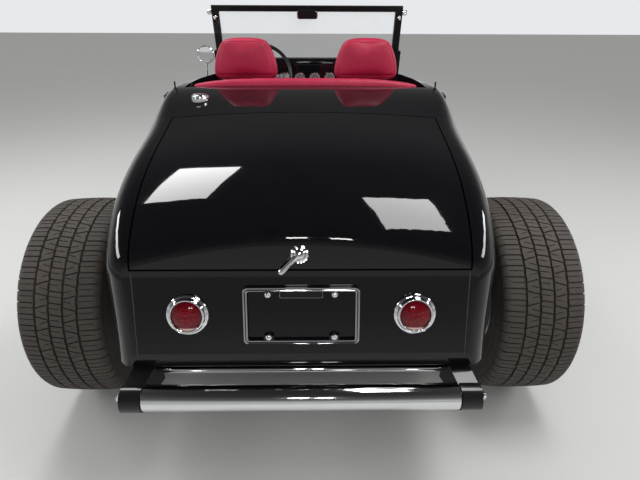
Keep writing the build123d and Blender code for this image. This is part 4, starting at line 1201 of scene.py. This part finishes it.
def buildWheel(name, body, centre, side, row, node):
    maker = wheelMaker
    rim, half = row["rim"] - 0.0006, row["width"] * 0.40 - 0.0005
    place = aimed(centre, (side, 0, 0))
    heap = Heap()
    lips = [(rim - inwards, half - down) for inwards, down in maker["outerLip"]]
    lips += [(rim - maker["barrel"], 0.0)]
    lips += [(rim - inwards, up - half) for inwards, up in maker["innerLip"]]
    heap.lathe(lips, 112, place, closed=True)
    rows = spokeRows(rim)
    for turn in turns(maker["spokes"], math.pi / 2):
        heap.stack(rows, place @ Matrix.Rotation(turn, 4, "Z"))
    heap.lathe(maker["hub"], 80, place)
    heap.lathe(maker["cap"], 64, place, 1)
    halfSpoke = math.pi / maker["spokes"]
    for turn in turns(maker["spokes"], math.pi / 2 + halfSpoke):
        spot = place @ moved(*polar(maker["nutRing"], turn), 0.0455)
        heap.lathe(maker["nutSeat"], 20, spot, 1)
        heap.lathe(maker["nut"], 6, spot, 1)
    drum = list(maker["drum"])
    for number in range(maker["fins"]):
        start = maker["finFirst"] - maker["finPitch"] * number
        drum += [(radius, start + height) for radius, height in maker["fin"]]
    heap.lathe(drum + maker["drumBack"], 96, place, 2, closed=True)
    angle = math.pi / 2 + halfSpoke
    stem = [(rim - 0.0230 - 0.012 * share, half - 0.034 + 0.020 * share) for share in (0, 0.35, 0.7, 1)]
    path = [(*polar(reach, angle), z) for reach, z in stem]
    heap.tube(path[:3], [0.0044, 0.0034, 0.0032], 14, place=place, kind=3)
    heap.tube(path[2:], [0.0041, 0.0038], 14, place=place, kind=1)
    heap.piece(name, body, "wheel_metal", 38, ("wheel_metal", "chrome", "darkAlloy", "seal"), (node,))


for (end, side), centre in tyrePlaces.items():
    node = f"wheel_{end}_{side}"
    buildWheel(f"{end}Wheel{side.capitalize()}", node, centre, dict(bothSides)[side], tyreRows[end], node)
print("wheels made")


# rear bar, spreader bars and end bolts
barMaker = {
    "half": 0.436, "y": -1.774, "z": 0.395, "end": mm((0, 0), (30, 0), (34.5, 1.2), (36, 4)),
    "spreaders": ((-1.701, 0.430, 0.417), (1.684, 0.340, 0.272)),  # y, z, half length
    "boltX": 0.4925,
    "washer": mm((0, 0), (16.8, 0), (16.8, 2), (15.5, 3), (12, 3.2)),
    "hex": mm((12.5, 3), (12.5, 12), (11.2, 13.5)),
    "crown": mm((11.2, 13.2), (9.8, 16.5), (6.5, 19), (3, 20), (0, 20.3)),
}


def buildBars():
    maker = barMaker
    heap = Heap()
    end = [(radius, height - maker["half"]) for radius, height in maker["end"]]
    profile = end + [(radius, -height) for radius, height in end[::-1]]
    heap.lathe(profile, 128, aimed((0, maker["y"], maker["z"]), (1, 0, 0)))
    for y, z, half in maker["spreaders"]:
        end = [(0, -half), (0.008, -half), (0.009, -half + 0.001)]
        profile = end + [(radius, -height) for radius, height in end[::-1]]
        heap.lathe(profile, 40, aimed((0, y, z), (1, 0, 0)))
    for _, sign in bothSides:
        spot = aimed((sign * maker["boltX"], maker["y"], maker["z"]), (sign, 0, 0))
        for name, count in (("washer", 48), ("hex", 6), ("crown", 40)):
            heap.lathe(maker[name], count, spot)
    heap.piece("bars", "chassis", "chrome", 45, stands=("bumper_bars",))


buildBars()


# windshield seal, inside mirror glass, hinge screws, knobs and clamps
screenPlace = moved(0, ahead(1452), 1.076) @ Matrix.Rotation(math.radians(12.4), 4, "X")
screenMaker = {
    "seal": 0.0032, "wide": 1.015, "low": 0.0175, "high": 0.2795, "sides": (-0.0060, 0.0060),
    "glass": (0.108, 0.038, 0.009), "glassPlace": (0, -0.0342, 0.267),
    "screwX": 0.559, "screwUp": (-0.02, 0.03),
    "screw": mm((7, -0.5), (7, 0.4), (5.8, 2.6), (3, 3.6), (0, 3.8)),
    "knobX": 0.5455, "knobUp": 0.272, "knurls": 20, "knurlRing": 0.0136,
    "knob": mm((15, 0), (15, 3), (13.6, 4.2), (13.6, 20.5), (12.2, 23.2), (7, 24.2), (0, 24.5)),
    "clampX": 0.5265, "clampOut": 0.0112, "clampUp": 0.246,
    "clamp": mm((10.5, -0.4), (10.5, 1.4), (9.2, 2.6), (5, 3)),
    "clampScrew": mm((5.2, 2.8), (5.2, 5.2), (4, 6.8), (1.8, 7.4), (0, 7.5)),
}


def buildScreenTrim():
    maker = screenMaker
    seal = Heap()
    middle = (maker["low"] + maker["high"]) / 2
    outline = roundedOutline(maker["wide"], maker["high"] - maker["low"], 0.010, 5)
    for y in maker["sides"]:
        path = [(x, y, z + middle) for x, z in outline]
        seal.tube(path, maker["seal"], 8, closed=True, place=screenPlace)
    seal.piece("screenSeal", "chassis", "tyre", 50, ("seal",))
    glass = Heap()
    turn = moved(*maker["glassPlace"]) @ Matrix.Rotation(math.pi / 2, 4, "X")
    glass.slab(roundedOutline(*maker["glass"]), -0.0002, 0.0010, screenPlace @ turn, 0, 0.0004)
    glass.piece("insideMirrorGlass", "chassis", "chrome", 40, ("mirrorGlass",))
    screws = Heap()
    for _, sign in bothSides:
        for z in maker["screwUp"]:
            screw = screenPlace @ aimed((sign * maker["screwX"], 0, z), (sign, 0, 0))
            screws.lathe(maker["screw"], 28, screw)
        knob = screenPlace @ aimed((sign * maker["knobX"], 0, maker["knobUp"]), (sign, 0, 0))
        screws.lathe(maker["knob"], 40, knob)
        for turn in turns(maker["knurls"]):
            x, y = polar(maker["knurlRing"], turn)
            screws.tube([(x, y, 0.006), (x, y, 0.0195)], 0.0009, 6, place=knob)
        for out in (-1, 1):
            spot = (sign * maker["clampX"], out * maker["clampOut"], maker["clampUp"])
            clamp = screenPlace @ aimed(spot, (0, out, 0))
            screws.lathe(maker["clamp"], 36, clamp)
            screws.lathe(maker["clampScrew"], 24, clamp)
    screws.piece("screenScrews", "chassis", "chrome", 45)


buildScreenTrim()


# round side mirror on its stalk
mirrorMaker = {
    "place": (-0.553, ahead(1156.5), 1.134), "foot": (-0.557, ahead(1162), 1.0085),
    "shell": mm(
        (40.5, -1), (41.2, 0.4), (43.6, 0.8), (45.6, -0.6), (46, -3.2), (45.2, -7), (42, -11.2),
        (35, -14.8), (22, -17.2), (8, -18), (0, -18.1),
    ),
    "base": mm((13, 0), (13.8, 1), (13.8, 4), (11, 7.5), (7, 10.5), (5.2, 15)),
    "stalk": (
        (-0.557, ahead(1162), 1.020), (-0.5562, ahead(1163), 1.050), (-0.5545, ahead(1165), 1.085),
        (-0.553, ahead(1168), 1.112), (-0.553, ahead(1170.5), 1.130),
    ),
    "ball": mm((0, -9), (7.5, -9), (8, -6), (8, 0), (0, 0)), "ballPlace": (-0.553, ahead(1174), 1.131),
    "glass": mm((0, 0.6), (20, 0.3), (40.8, -0.6), (40.8, -2.2), (0, -2.2)),
}


def buildSideMirror():
    maker = mirrorMaker
    place = aimed(maker["place"], (0, -1, 0))
    heap = Heap()
    heap.lathe(maker["shell"], 80, place)
    heap.lathe(maker["base"], 40, Matrix.Translation(maker["foot"]))
    heap.tube(maker["stalk"], 0.0049, 20)
    heap.lathe(maker["ball"], 28, aimed(maker["ballPlace"], (0, 1, 0)))
    heap.piece("sideMirror", "door_left", "chrome", 40, stands=("side_mirror",))
    glass = Heap()
    glass.lathe(maker["glass"], 72, place)
    glass.piece("sideMirrorGlass", "door_left", "chrome", 40, ("mirrorGlass",))


buildSideMirror()


# steering wheel: grip with finger ridges, three drilled spokes, plain cap
steerMaker = {
    "radius": 0.183, "grip": 0.0092, "ridges": 48, "ridge": 0.0014, "lean": 32.0,
    "place": (-0.272, ahead(1107), 1.030), "around": 288, "sides": 24,
    "spokes": (0, 180, 270), "spoke": ((0.024, 0.06, 0.13, 0.1745), (0.0150, 0.0095, 0.0088, 0.0108)),
    "holes": (0.075, 0.098, 0.121, 0.144),
    "eyelet": mm((5, -0.3), (5.8, 0.4), (6.6, 0.4), (7.2, -0.3)),
    "hole": mm((0, 0.1), (5.2, 0.1), (5.2, -0.2), (0, -0.2)),
    "cap": mm(
        (30, -13.5), (33, -12), (33.5, 6), (32.2, 9.8), (29.2, 11.5), (28, 13.5), (26.2, 15.5), (18, 16.8),
        (8, 17.2), (0, 17.3),
    ),
    "screw": mm((1.9, 0), (1.9, 1.2), (1.2, 1.7), (0, 1.8)), "screws": 6,
}


def buildSteeringWheel():
    maker = steerMaker
    place = leaning(maker["place"], maker["lean"])
    heap = Heap()
    rows = []
    for turn in turns(maker["around"]):
        swell = 0.5 + 0.5 * math.cos(turn * maker["ridges"])
        ring = []
        for across, up in (polar(1.0, angle) for angle in turns(maker["sides"])):
            size = maker["grip"] + maker["ridge"] * swell * max(0.0, -up * 0.7 - across * 0.3)
            ring.append((*polar(maker["radius"] + size * across, turn), size * up))
        rows.append(ring)
    heap.stack(rows, place, loop=True)
    lengths = np.linspace(maker["spoke"][0][0], maker["spoke"][0][-1], 16)
    right = [(x, -np.interp(x, *maker["spoke"])) for x in lengths]
    outline = right + [(x, -y) for x, y in right[::-1]]
    for degrees in maker["spokes"]:
        turn = place @ Matrix.Rotation(math.radians(degrees), 4, "Z")
        heap.slab(outline, -0.0046, -0.0004, turn, 1, 0.0008)
        for x in maker["holes"]:
            for height in (-0.0003, -0.0047):
                heap.lathe(maker["eyelet"], 28, turn @ moved(x, 0, height), 1)
                heap.lathe(maker["hole"], 28, turn @ moved(x, 0, height), 0)
    heap.lathe(maker["cap"], 72, place, 1)
    for turn in turns(maker["screws"], 0.3):
        heap.lathe(maker["screw"], 16, place @ moved(*polar(0.0302, turn), 0.0108), 1)
    looks = ("frame_black", "steel")
    heap.piece("steeringWheel", "steering_wheel", "frame_black", 40, looks, ("steering_wheel",))


buildSteeringWheel()


# dials: bezel, face, ticks, needle and glass
dialMaker = {
    "y": ahead(1300), "z": 0.997, "radius": 0.0322, "ticks": 31, "sweep": 260,
    "dials": ((-0.134, -50), (-0.046, 20), (0.042, -110), (0.130, 65)),  # x, angle of the needle
    "bezel": mm((4.5, 1.5), (4.5, 6.6), (3, 8.4), (1.2, 8.6), (0, 7), (-0.2, 3), (0, 0.1)),  # inwards, up
    "boss": mm((3.6, 3), (3.6, 5.6), (2.8, 6.2), (0, 6.4)),
    "needle": mm((-1.1, -6), (1.1, -6), (0.4, 22.5), (-0.4, 22.5)),
}


def buildDials():
    maker = dialMaker
    radius = maker["radius"]
    bezels, faces, glasses = Heap(), Heap(), Heap()
    for x, needle in maker["dials"]:
        place = aimed((x, maker["y"], maker["z"]), (0, -1, 0))
        bezels.lathe([(radius - inwards, height) for inwards, height in maker["bezel"]], 72, place)
        disc = radius - 0.0044
        faces.lathe([(0, 0.0030), (disc, 0.0030), (disc, 0.0010), (0, 0.0010)], 64, place)
        for tick in range(maker["ticks"]):
            turn = math.radians(maker["sweep"] * (tick / (maker["ticks"] - 1) - 0.5))
            wide, long = (0.0009, 0.0115) if tick % 5 == 0 else (0.0005, 0.0085)
            inner, outer = radius - long, radius - 0.0058
            outline = [(-wide, inner), (wide, inner), (wide, outer), (-wide, outer)]
            faces.slab(outline, 0.0029, 0.0033, place @ Matrix.Rotation(-turn, 4, "Z"), 1)
        pointer = place @ Matrix.Rotation(-math.radians(needle), 4, "Z")
        faces.slab(maker["needle"], 0.0042, 0.0050, pointer, 2)
        faces.lathe(maker["boss"], 28, place)
        glasses.lathe([(radius - 0.0046, 0.0068), (radius * 0.5, 0.0074), (0, 0.0076)], 56, place)
    bezels.piece("dialBezels", "chassis", "chrome", 45, stands=("gauges",))
    faces.piece("dialFaces", "chassis", "gauge_face", 40, ("gauge_face", "dialMarks", "needle"))
    glasses.piece("dialGlass", "chassis", "clear_glass", 60)


buildDials()
print("cockpit fittings made")


# springs: coils over tubes behind, tubes and stacked leaves in front
springMaker = {
    "rearX": 0.400, "rearY": ahead(-99), "coil": 0.0240, "wire": 0.0052, "turns": 6.5,
    "heights": (0.3135, 0.4145), "bracketZs": (0.4222, 0.4492),
    "foot": (0.448, 0.039), "footZs": (0.2055, 0.2450),
    "seats": ((0.3003, 0.3085, 0.0295), (0.4155, 0.4215, 0.0290)),  # low, high, radius
    "tube": mm((0, 300.5), (14, 300.5), (14, 370), (12.8, 371.8), (7, 372.2), (7, 430), (0, 430)),
    "bracket": (0.3884, 0.0876),  # middle and half width
    "frontFoot": (0.448, 0.240), "frontTop": (0.338, 0.396), "frontOut": 0.046,
    "leaves": 5, "half": 0.4135, "shorter": 0.19, "arch": (0.3006, 0.3520), "leaf": 0.0053, "pitch": 0.0059,
    "steps": 48, "clips": (-0.24, 0.24),
}
frontAxleY = ahead(wheelbase)


def buildCoil(heap, x):
    maker = springMaker
    y = maker["rearY"]
    low, high = maker["heights"]
    steps = int(maker["turns"] * 28)
    path = []
    for step in range(steps + 1):
        share = step / steps
        across, along = polar(maker["coil"], fullTurn * maker["turns"] * share)
        rise = low + (high - low) * min(1, max(0, (share - 0.06) / 0.88))
        path.append((x + across, y + along, rise))
    heap.tube(path, maker["wire"], 12)
    middle = moved(x, y, 0)
    for low, high, radius in maker["seats"]:
        profile = [(0, low), (radius - 0.001, low), (radius, low + 0.001), (radius, high - 0.0012)]
        heap.lathe(profile + [(radius - 0.0015, high), (0, high)], 48, middle, 1)
    heap.lathe(maker["tube"], 36, middle, 1)


def buildSprings():
    maker = springMaker
    heap = Heap()
    for _, sign in bothSides:
        buildCoil(heap, sign * maker["rearX"])
        middle, half = maker["bracket"]
        outline = boxOutline(sign * middle, maker["rearY"] + 0.002, half, 0.0195)
        heap.slab(outline, *maker["bracketZs"], None, 2, 0.002)
        y = frontAxleY + maker["frontOut"]
        (footX, footZ), (topX, topZ) = maker["frontFoot"], maker["frontTop"]
        start = Vector((sign * footX, y, footZ))
        along = Vector((sign * topX, y, topZ)) - start
        body = [start + along * share for share in (0, 0.03, 0.52, 0.55)]
        sleeve = [start + along * share for share in (0.53, 0.56, 0.97, 1)]
        heap.tube(body, [0.0150, 0.0160, 0.0160, 0.0150], 32, kind=1)
        heap.tube(sleeve, [0.0160, 0.0168, 0.0168, 0.0150], 32, kind=2)
        across, forwards = maker["foot"]
        outline = boxOutline(sign * across, frontAxleY + forwards, 0.0175, 0.0245)
        heap.slab(outline, *maker["footZs"], None, 2, 0.003)
    looks = ("frame_black", "chrome", "frame_black")
    heap.piece("springUnits", "chassis", "chrome", 40, looks, ("dampers",))
    leaves = Heap()
    low, high = maker["arch"]
    for number in range(maker["leaves"]):
        half = maker["half"] * (1 - maker["shorter"] * number)
        rows = []
        for step in range(maker["steps"] + 1):
            x = -half + 2 * half * step / maker["steps"]
            base = low + (high - low) * (1 - (x / 0.414) ** 2) + number * maker["pitch"]
            top = base + maker["leaf"]
            wide = 0.0175 if step in (0, maker["steps"]) else 0.0235
            corners = ((-wide, base), (wide, base), (wide, top), (-wide, top))
            rows.append([(x, frontAxleY + y, z) for y, z in corners])
        leaves.stack(rows)
    for x in maker["clips"]:
        leaves.slab(boxOutline(x, frontAxleY, 0.012, 0.0238), 0.3325, 0.3560, None, 1, 0.001)
    leaves.piece("leafSpring", "chassis", "frame_black", 30, ("frame_black", "steel"), ("front_spring",))


buildSprings()


# headlamp glass with moulded flutes, reflector and bulb behind it
headlampMaker = {
    "place": (0.330, ahead(2760), 0.735), "rings": 26, "count": 144, "radius": 0.0770, "back": 0.0400,
    "dome": ((0.0, 0.030, 0.060, 0.0770), (0.0595, 0.0575, 0.0515, 0.0436)),
    "flute": 0.0007, "flutes": 330, "plainFrom": 0.070,
    "bowl": mm((76.8, 39.8), (72, 35.2), (56, 32.2), (30, 30.8), (11, 30.6), (11, 33), (0, 33)),
    "bulb": mm((7, 32.5), (7.8, 39), (8, 43), (6, 47), (3, 48.8), (0, 49.2)),
    "ring": mm(
        (90.5, 42.5), (91.2, 44.5), (90, 47), (86, 48.2), (80, 47.5), (77.3, 45.2), (77.1, 44.2),
        (90.5, 44),
    ),
}


def headlampLens():
    maker = headlampMaker
    radius, rings, count = maker["radius"], maker["rings"], maker["count"]
    points = [(0, 0, maker["dome"][1][0])]
    for ring in range(1, rings + 1):
        reach = radius * ring / rings
        height = np.interp(reach, *maker["dome"])
        deep = maker["flute"] if reach < maker["plainFrom"] else 0.0
        for x, y in (polar(reach, turn) for turn in turns(count)):
            points.append((x, y, height - deep * abs(math.sin(x * maker["flutes"]))))
    points += [(*polar(radius, turn), maker["back"]) for turn in turns(count)]
    faces = [[0, 1 + step, 1 + (step + 1) % count] for step in range(count)]
    faces += [[1 + index for index in face[::-1]] for face in bands(rings + 1, count)]
    return points, faces


def buildHeadlamps():
    maker = headlampMaker
    x, y, z = maker["place"]
    for side, sign in bothSides:
        side = side.capitalize()
        place = aimed((sign * x, y, z), (0, 1, 0))
        lens = Heap()
        lens.add(*headlampLens(), place)
        lens.piece(f"headlampLens{side}", "chassis", "clear_glass", 40, stands=("headlamp_lenses",))
        bowl = Heap()
        for kind, (name, count) in enumerate((("bowl", 80), ("bulb", 40), ("ring", 96))):
            bowl.lathe(maker[name], count, place, kind)
        bowl.piece(f"headlampBowl{side}", "chassis", "chrome", 40, ("silver", "steel", "chrome"))


buildHeadlamps()


# door trims: sewn leather panels on the inside of each door, with a pull
trimMaker = {
    "ys": np.linspace(-0.455, 0.078, 68), "zs": np.linspace(0.560, 0.972, 52),
    "off": 0.0004, "thin": 0.0022, "puff": 0.0042, "edge": 0.014,
    "pleat": 0.060, "pleatZs": (0.60, 0.86), "pleatDeep": 0.0026,
    "seams": (0.595, 0.868), "seamDeep": 0.0024,
    "pull": (-0.34, 0.905), "boss": mm((15, -3), (15, 0.2), (13, 1.8), (6, 2.2), (0, 2.2)),
}


def trimPuff(y, z):
    maker = trimMaker
    ys, zs = maker["ys"], maker["zs"]
    edge = min(y - ys[0], ys[-1] - y, z - zs[0], zs[-1] - z)
    puff = maker["thin"] + maker["puff"] * min(1, max(0, edge) / maker["edge"]) ** 0.5
    low, high = maker["pleatZs"]
    if low < z < high:
        pleat = ((y - ys[0]) / maker["pleat"]) % 1 - 0.5
        puff -= maker["pleatDeep"] * bell(pleat * maker["pleat"], 0.004)
    return puff - sum(maker["seamDeep"] * bell(z - seam, 0.0035) for seam in maker["seams"])


def doorSkin(door, sign):
    # how far out the door's inner face is at each point of the trim's grid, or None beside it
    tree = BVHTree.FromObject(door, bpy.context.evaluated_depsgraph_get())
    turn = door.matrix_world
    back = turn.inverted()
    aim = (back.to_3x3() @ Vector((sign, 0, 0))).normalized()
    skin = []
    for z in trimMaker["zs"]:
        for y in trimMaker["ys"]:
            hit = tree.ray_cast(back @ Vector((0.0, y, z)), aim)[0]
            skin.append(None if hit is None else abs((turn @ hit).x))
    return skin


def trimBorder(across, rows):
    # indices round the edge of the grid
    border = list(range(across))
    border += [row * across + across - 1 for row in range(1, rows)]
    border += [(rows - 1) * across + column for column in range(across - 2, -1, -1)]
    return border + [row * across for row in range(rows - 2, 0, -1)]


def buildDoorTrims():
    maker = trimMaker
    across, rows = len(maker["ys"]), len(maker["zs"])
    spots = [(y, z) for z in maker["zs"] for y in maker["ys"]]
    size = len(spots)
    faces = bands(rows, across, wrap=False)
    faces += [[size + index for index in face[::-1]] for face in faces]
    border = trimBorder(across, rows)
    for first, second in zip(border, border[1:] + border[:1]):
        faces.append([first, second, size + second, size + first])
    for side, sign in bothSides:
        skin = doorSkin(nodes[f"door_{side}"], sign)
        level = float(np.median([x for x in skin if x is not None]))
        front, rear = [], []
        for x, (y, z) in zip(skin, spots):
            x = (x if x is not None and abs(x - level) < 0.03 else level) - maker["off"]
            front.append((sign * (x - trimPuff(y, z)), y, z))
            rear.append((sign * x, y, z))
        trim = Heap()
        trim.add(front + rear, faces)
        trim.piece(f"doorTrim{side.capitalize()}", f"door_{side}", "red_leather", 50)
        pull = Heap()
        x = level - 0.0085
        y, z = maker["pull"]
        pull.lathe(maker["boss"], 36, aimed((sign * x, y, z), (-sign, 0, 0)))
        steps = mm((2.2, 0, 0), (4.4, 15, -2), (4.4, 55, -6), (4, 70, -7))  # out, forwards, up
        path = [(sign * (x - out), y + forwards, z + up) for out, forwards, up in steps]
        pull.tube(path, [0.0030, 0.0034, 0.0032, 0.0022], 16)
        pull.piece(f"doorPull{side.capitalize()}", f"door_{side}", "chrome", 40)
        print("door trim", side, round(level, 4))


buildDoorTrims()


# rubber welts in the seams beside the tail panel
weltMaker = {
    "x": 0.4500, "rayX": 0.4485, "rayY": -2.2, "heights": (0.500, 0.733), "off": 0.0006, "radius": 0.0017,
}


def buildTailSeams():
    maker = weltMaker
    heap = Heap()
    graph = bpy.context.evaluated_depsgraph_get()
    trees = [BVHTree.FromObject(nodes[name], graph) for name in ("tail_panel", "quarter_panels")]
    for _, sign in bothSides:
        path = []
        for z in np.linspace(*maker["heights"], 40):
            start = Vector((sign * maker["rayX"], maker["rayY"], z))
            hits = [tree.ray_cast(start, Vector((0, 1, 0)))[0] for tree in trees]
            near = [hit.y for hit in hits if hit is not None]
            if near:
                path.append((sign * maker["x"], min(near) + maker["off"], z))
        heap.tube(path, maker["radius"], 10)
    heap.piece("tailSeams", "chassis", "tyre", 50, ("seal",))


buildTailSeams()


# banded clamps with a bolt each on the exhaust pipes
clampMaker = {
    "x": 0.2695, "up": 0.0525, "rays": 48, "bands": (-0.006, -0.002, 0.002, 0.006), "band": 0.0024,
}


def buildExhaustTrim():
    maker = clampMaker
    heap = Heap()
    tree = BVHTree.FromObject(nodes["exhaust"], bpy.context.evaluated_depsgraph_get())
    low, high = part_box("exhaust")
    middleY = (low.y + high.y) / 2
    for _, sign in bothSides:
        for y in (low.y + 0.05, low.y + 0.09, middleY - 0.42, middleY + 0.42):
            middle = Vector((sign * maker["x"], y, low.z + maker["up"]))
            rim = []
            for across, up in (polar(1.0, turn) for turn in turns(maker["rays"])):
                aim = Vector((across, 0, up))
                hit = tree.ray_cast(middle + aim * 0.3, -aim)[0]
                if hit is not None and (hit - middle).length < 0.07:
                    rim.append(hit + aim * 0.0012)
            if len(rim) < maker["rays"]:
                continue
            for shift in maker["bands"]:
                heap.tube([spot + Vector((0, shift, 0)) for spot in rim], maker["band"], 8, closed=True)
            heap.bolt(Matrix.Translation(rim[12] + Vector((0, 0, 0.0005))), 0.010)
    heap.piece("exhaustClamps", "chassis", "chrome", 45, ("steel",))
    print("exhaust clamps", len(heap.points), "points")


buildExhaustTrim()


# legs and nuts of the front spring's clamps
boltMaker = {"x": 0.400, "aside": 0.022, "heights": (0.214, 0.2985), "nut": 0.2975, "radius": 0.0042}


def buildSpringBolts():
    maker = boltMaker
    heap = Heap()
    for _, sign in bothSides:
        for aside in (-maker["aside"], maker["aside"]):
            x, y = sign * maker["x"], frontAxleY + aside
            heap.tube([(x, y, z) for z in maker["heights"]], maker["radius"], 12)
            heap.bolt(moved(x, y, maker["nut"]), 0.008)
    heap.piece("springBolts", "chassis", "frame_black", 45, ("steel",))


buildSpringBolts()


# floor and light
studio = {
    "floor": (0.54, 0.54, 0.53), "floorHalf": 30, "backdrop": (0.80, 0.82, 0.84), "fill": 0.68,
    "room": ((0.0, 0.62), (0.12, 0.34), (0.35, 0.10), (0.7, 0.035), (1.0, 0.02)),  # height, level
}
half = studio["floorHalf"]
corners = [(x, y, -0.0005) for x, y in boxOutline(0, 0, half, half)]
floorMesh = meshOf("studioFloor", corners, [(0, 1, 2, 3)])
floor = bpy.data.objects.new("studioFloor", floorMesh)
scene.collection.objects.link(floor)
floorFinish = Finish("studioFloor")
floorTones = floorFinish.blend(floorFinish.cloud(0.6, 4), studio["floor"], scaled(studio["floor"], 0.96))
floorMesh.materials.append(floorFinish.surface(colour=floorTones, rough=0.55))

# the camera and glass see a plain backdrop, gloss sees a room that is dark overhead
sky = Finish(bpy.data.worlds.new("studioSky"), "Generated")
scene.world = sky.material
level = sky.ramp(sky.split()[2], *studio["room"])
plain = sky.add("ShaderNodeBackground", {}, {"Color": (*studio["backdrop"], 1), "Strength": 1.0})
room = sky.add("ShaderNodeBackground", {}, {"Color": level, "Strength": 1.0})
fill = sky.add("ShaderNodeBackground", {}, {"Color": (1, 1, 1, 1), "Strength": studio["fill"]})
seen = sky.add("ShaderNodeLightPath", output="Is Camera Ray")
through = sky.add("ShaderNodeLightPath", output="Is Transmission Ray")
glossy = sky.add("ShaderNodeLightPath", output="Is Glossy Ray")
around = sky.add("ShaderNodeMixShader", {}, {0: glossy, 1: fill, 2: room})
shown = sky.add("ShaderNodeMixShader", {}, {0: seen.join("MAXIMUM", seen, through), 1: around, 2: plain})
sky.close(shown, "ShaderNodeOutputWorld")

lampRows = {
    "boxLeft": {"place": (-1.50, 0.16, 3.2), "turn": -13, "size": (0.93, 1.45), "power": 50},
    "boxRight": {"place": (1.23, -1.29, 3.2), "turn": 14, "size": (0.88, 1.27), "power": 44},
    "stripLeft": {"place": (-4.2, -1.2, 2.5), "aim": (0, -0.6, 0.5), "size": (3.6, 0.42), "power": 55},
    "stripRight": {"place": (4.2, -1.2, 2.5), "aim": (0, -0.6, 0.5), "size": (3.6, 0.42), "power": 55},
    "spotLeft": {"place": (-0.20, -5.4, 3.1), "aim": (0, -1.2, 0.6), "size": (0.34, 0.34), "power": 13},
    "spotRight": {"place": (0.50, -5.4, 3.1), "aim": (0, -1.2, 0.6), "size": (0.34, 0.34), "power": 13},
}
for name, row in lampRows.items():
    lamp = bpy.data.lights.new(name, "AREA")
    lamp.shape = "RECTANGLE"
    lamp.size, lamp.size_y = row["size"]
    lamp.energy = row["power"]
    holder = bpy.data.objects.new(name, lamp)
    holder.location = row["place"]
    if "turn" in row:
        holder.rotation_euler = (0, 0, math.radians(row["turn"]))
    else:
        aim = Vector(row["aim"]) - Vector(row["place"])
        holder.rotation_euler = aim.to_track_quat("-Z", "Y").to_euler()
    scene.collection.objects.link(holder)

scene.view_settings.view_transform = "Standard"
print("studio set")
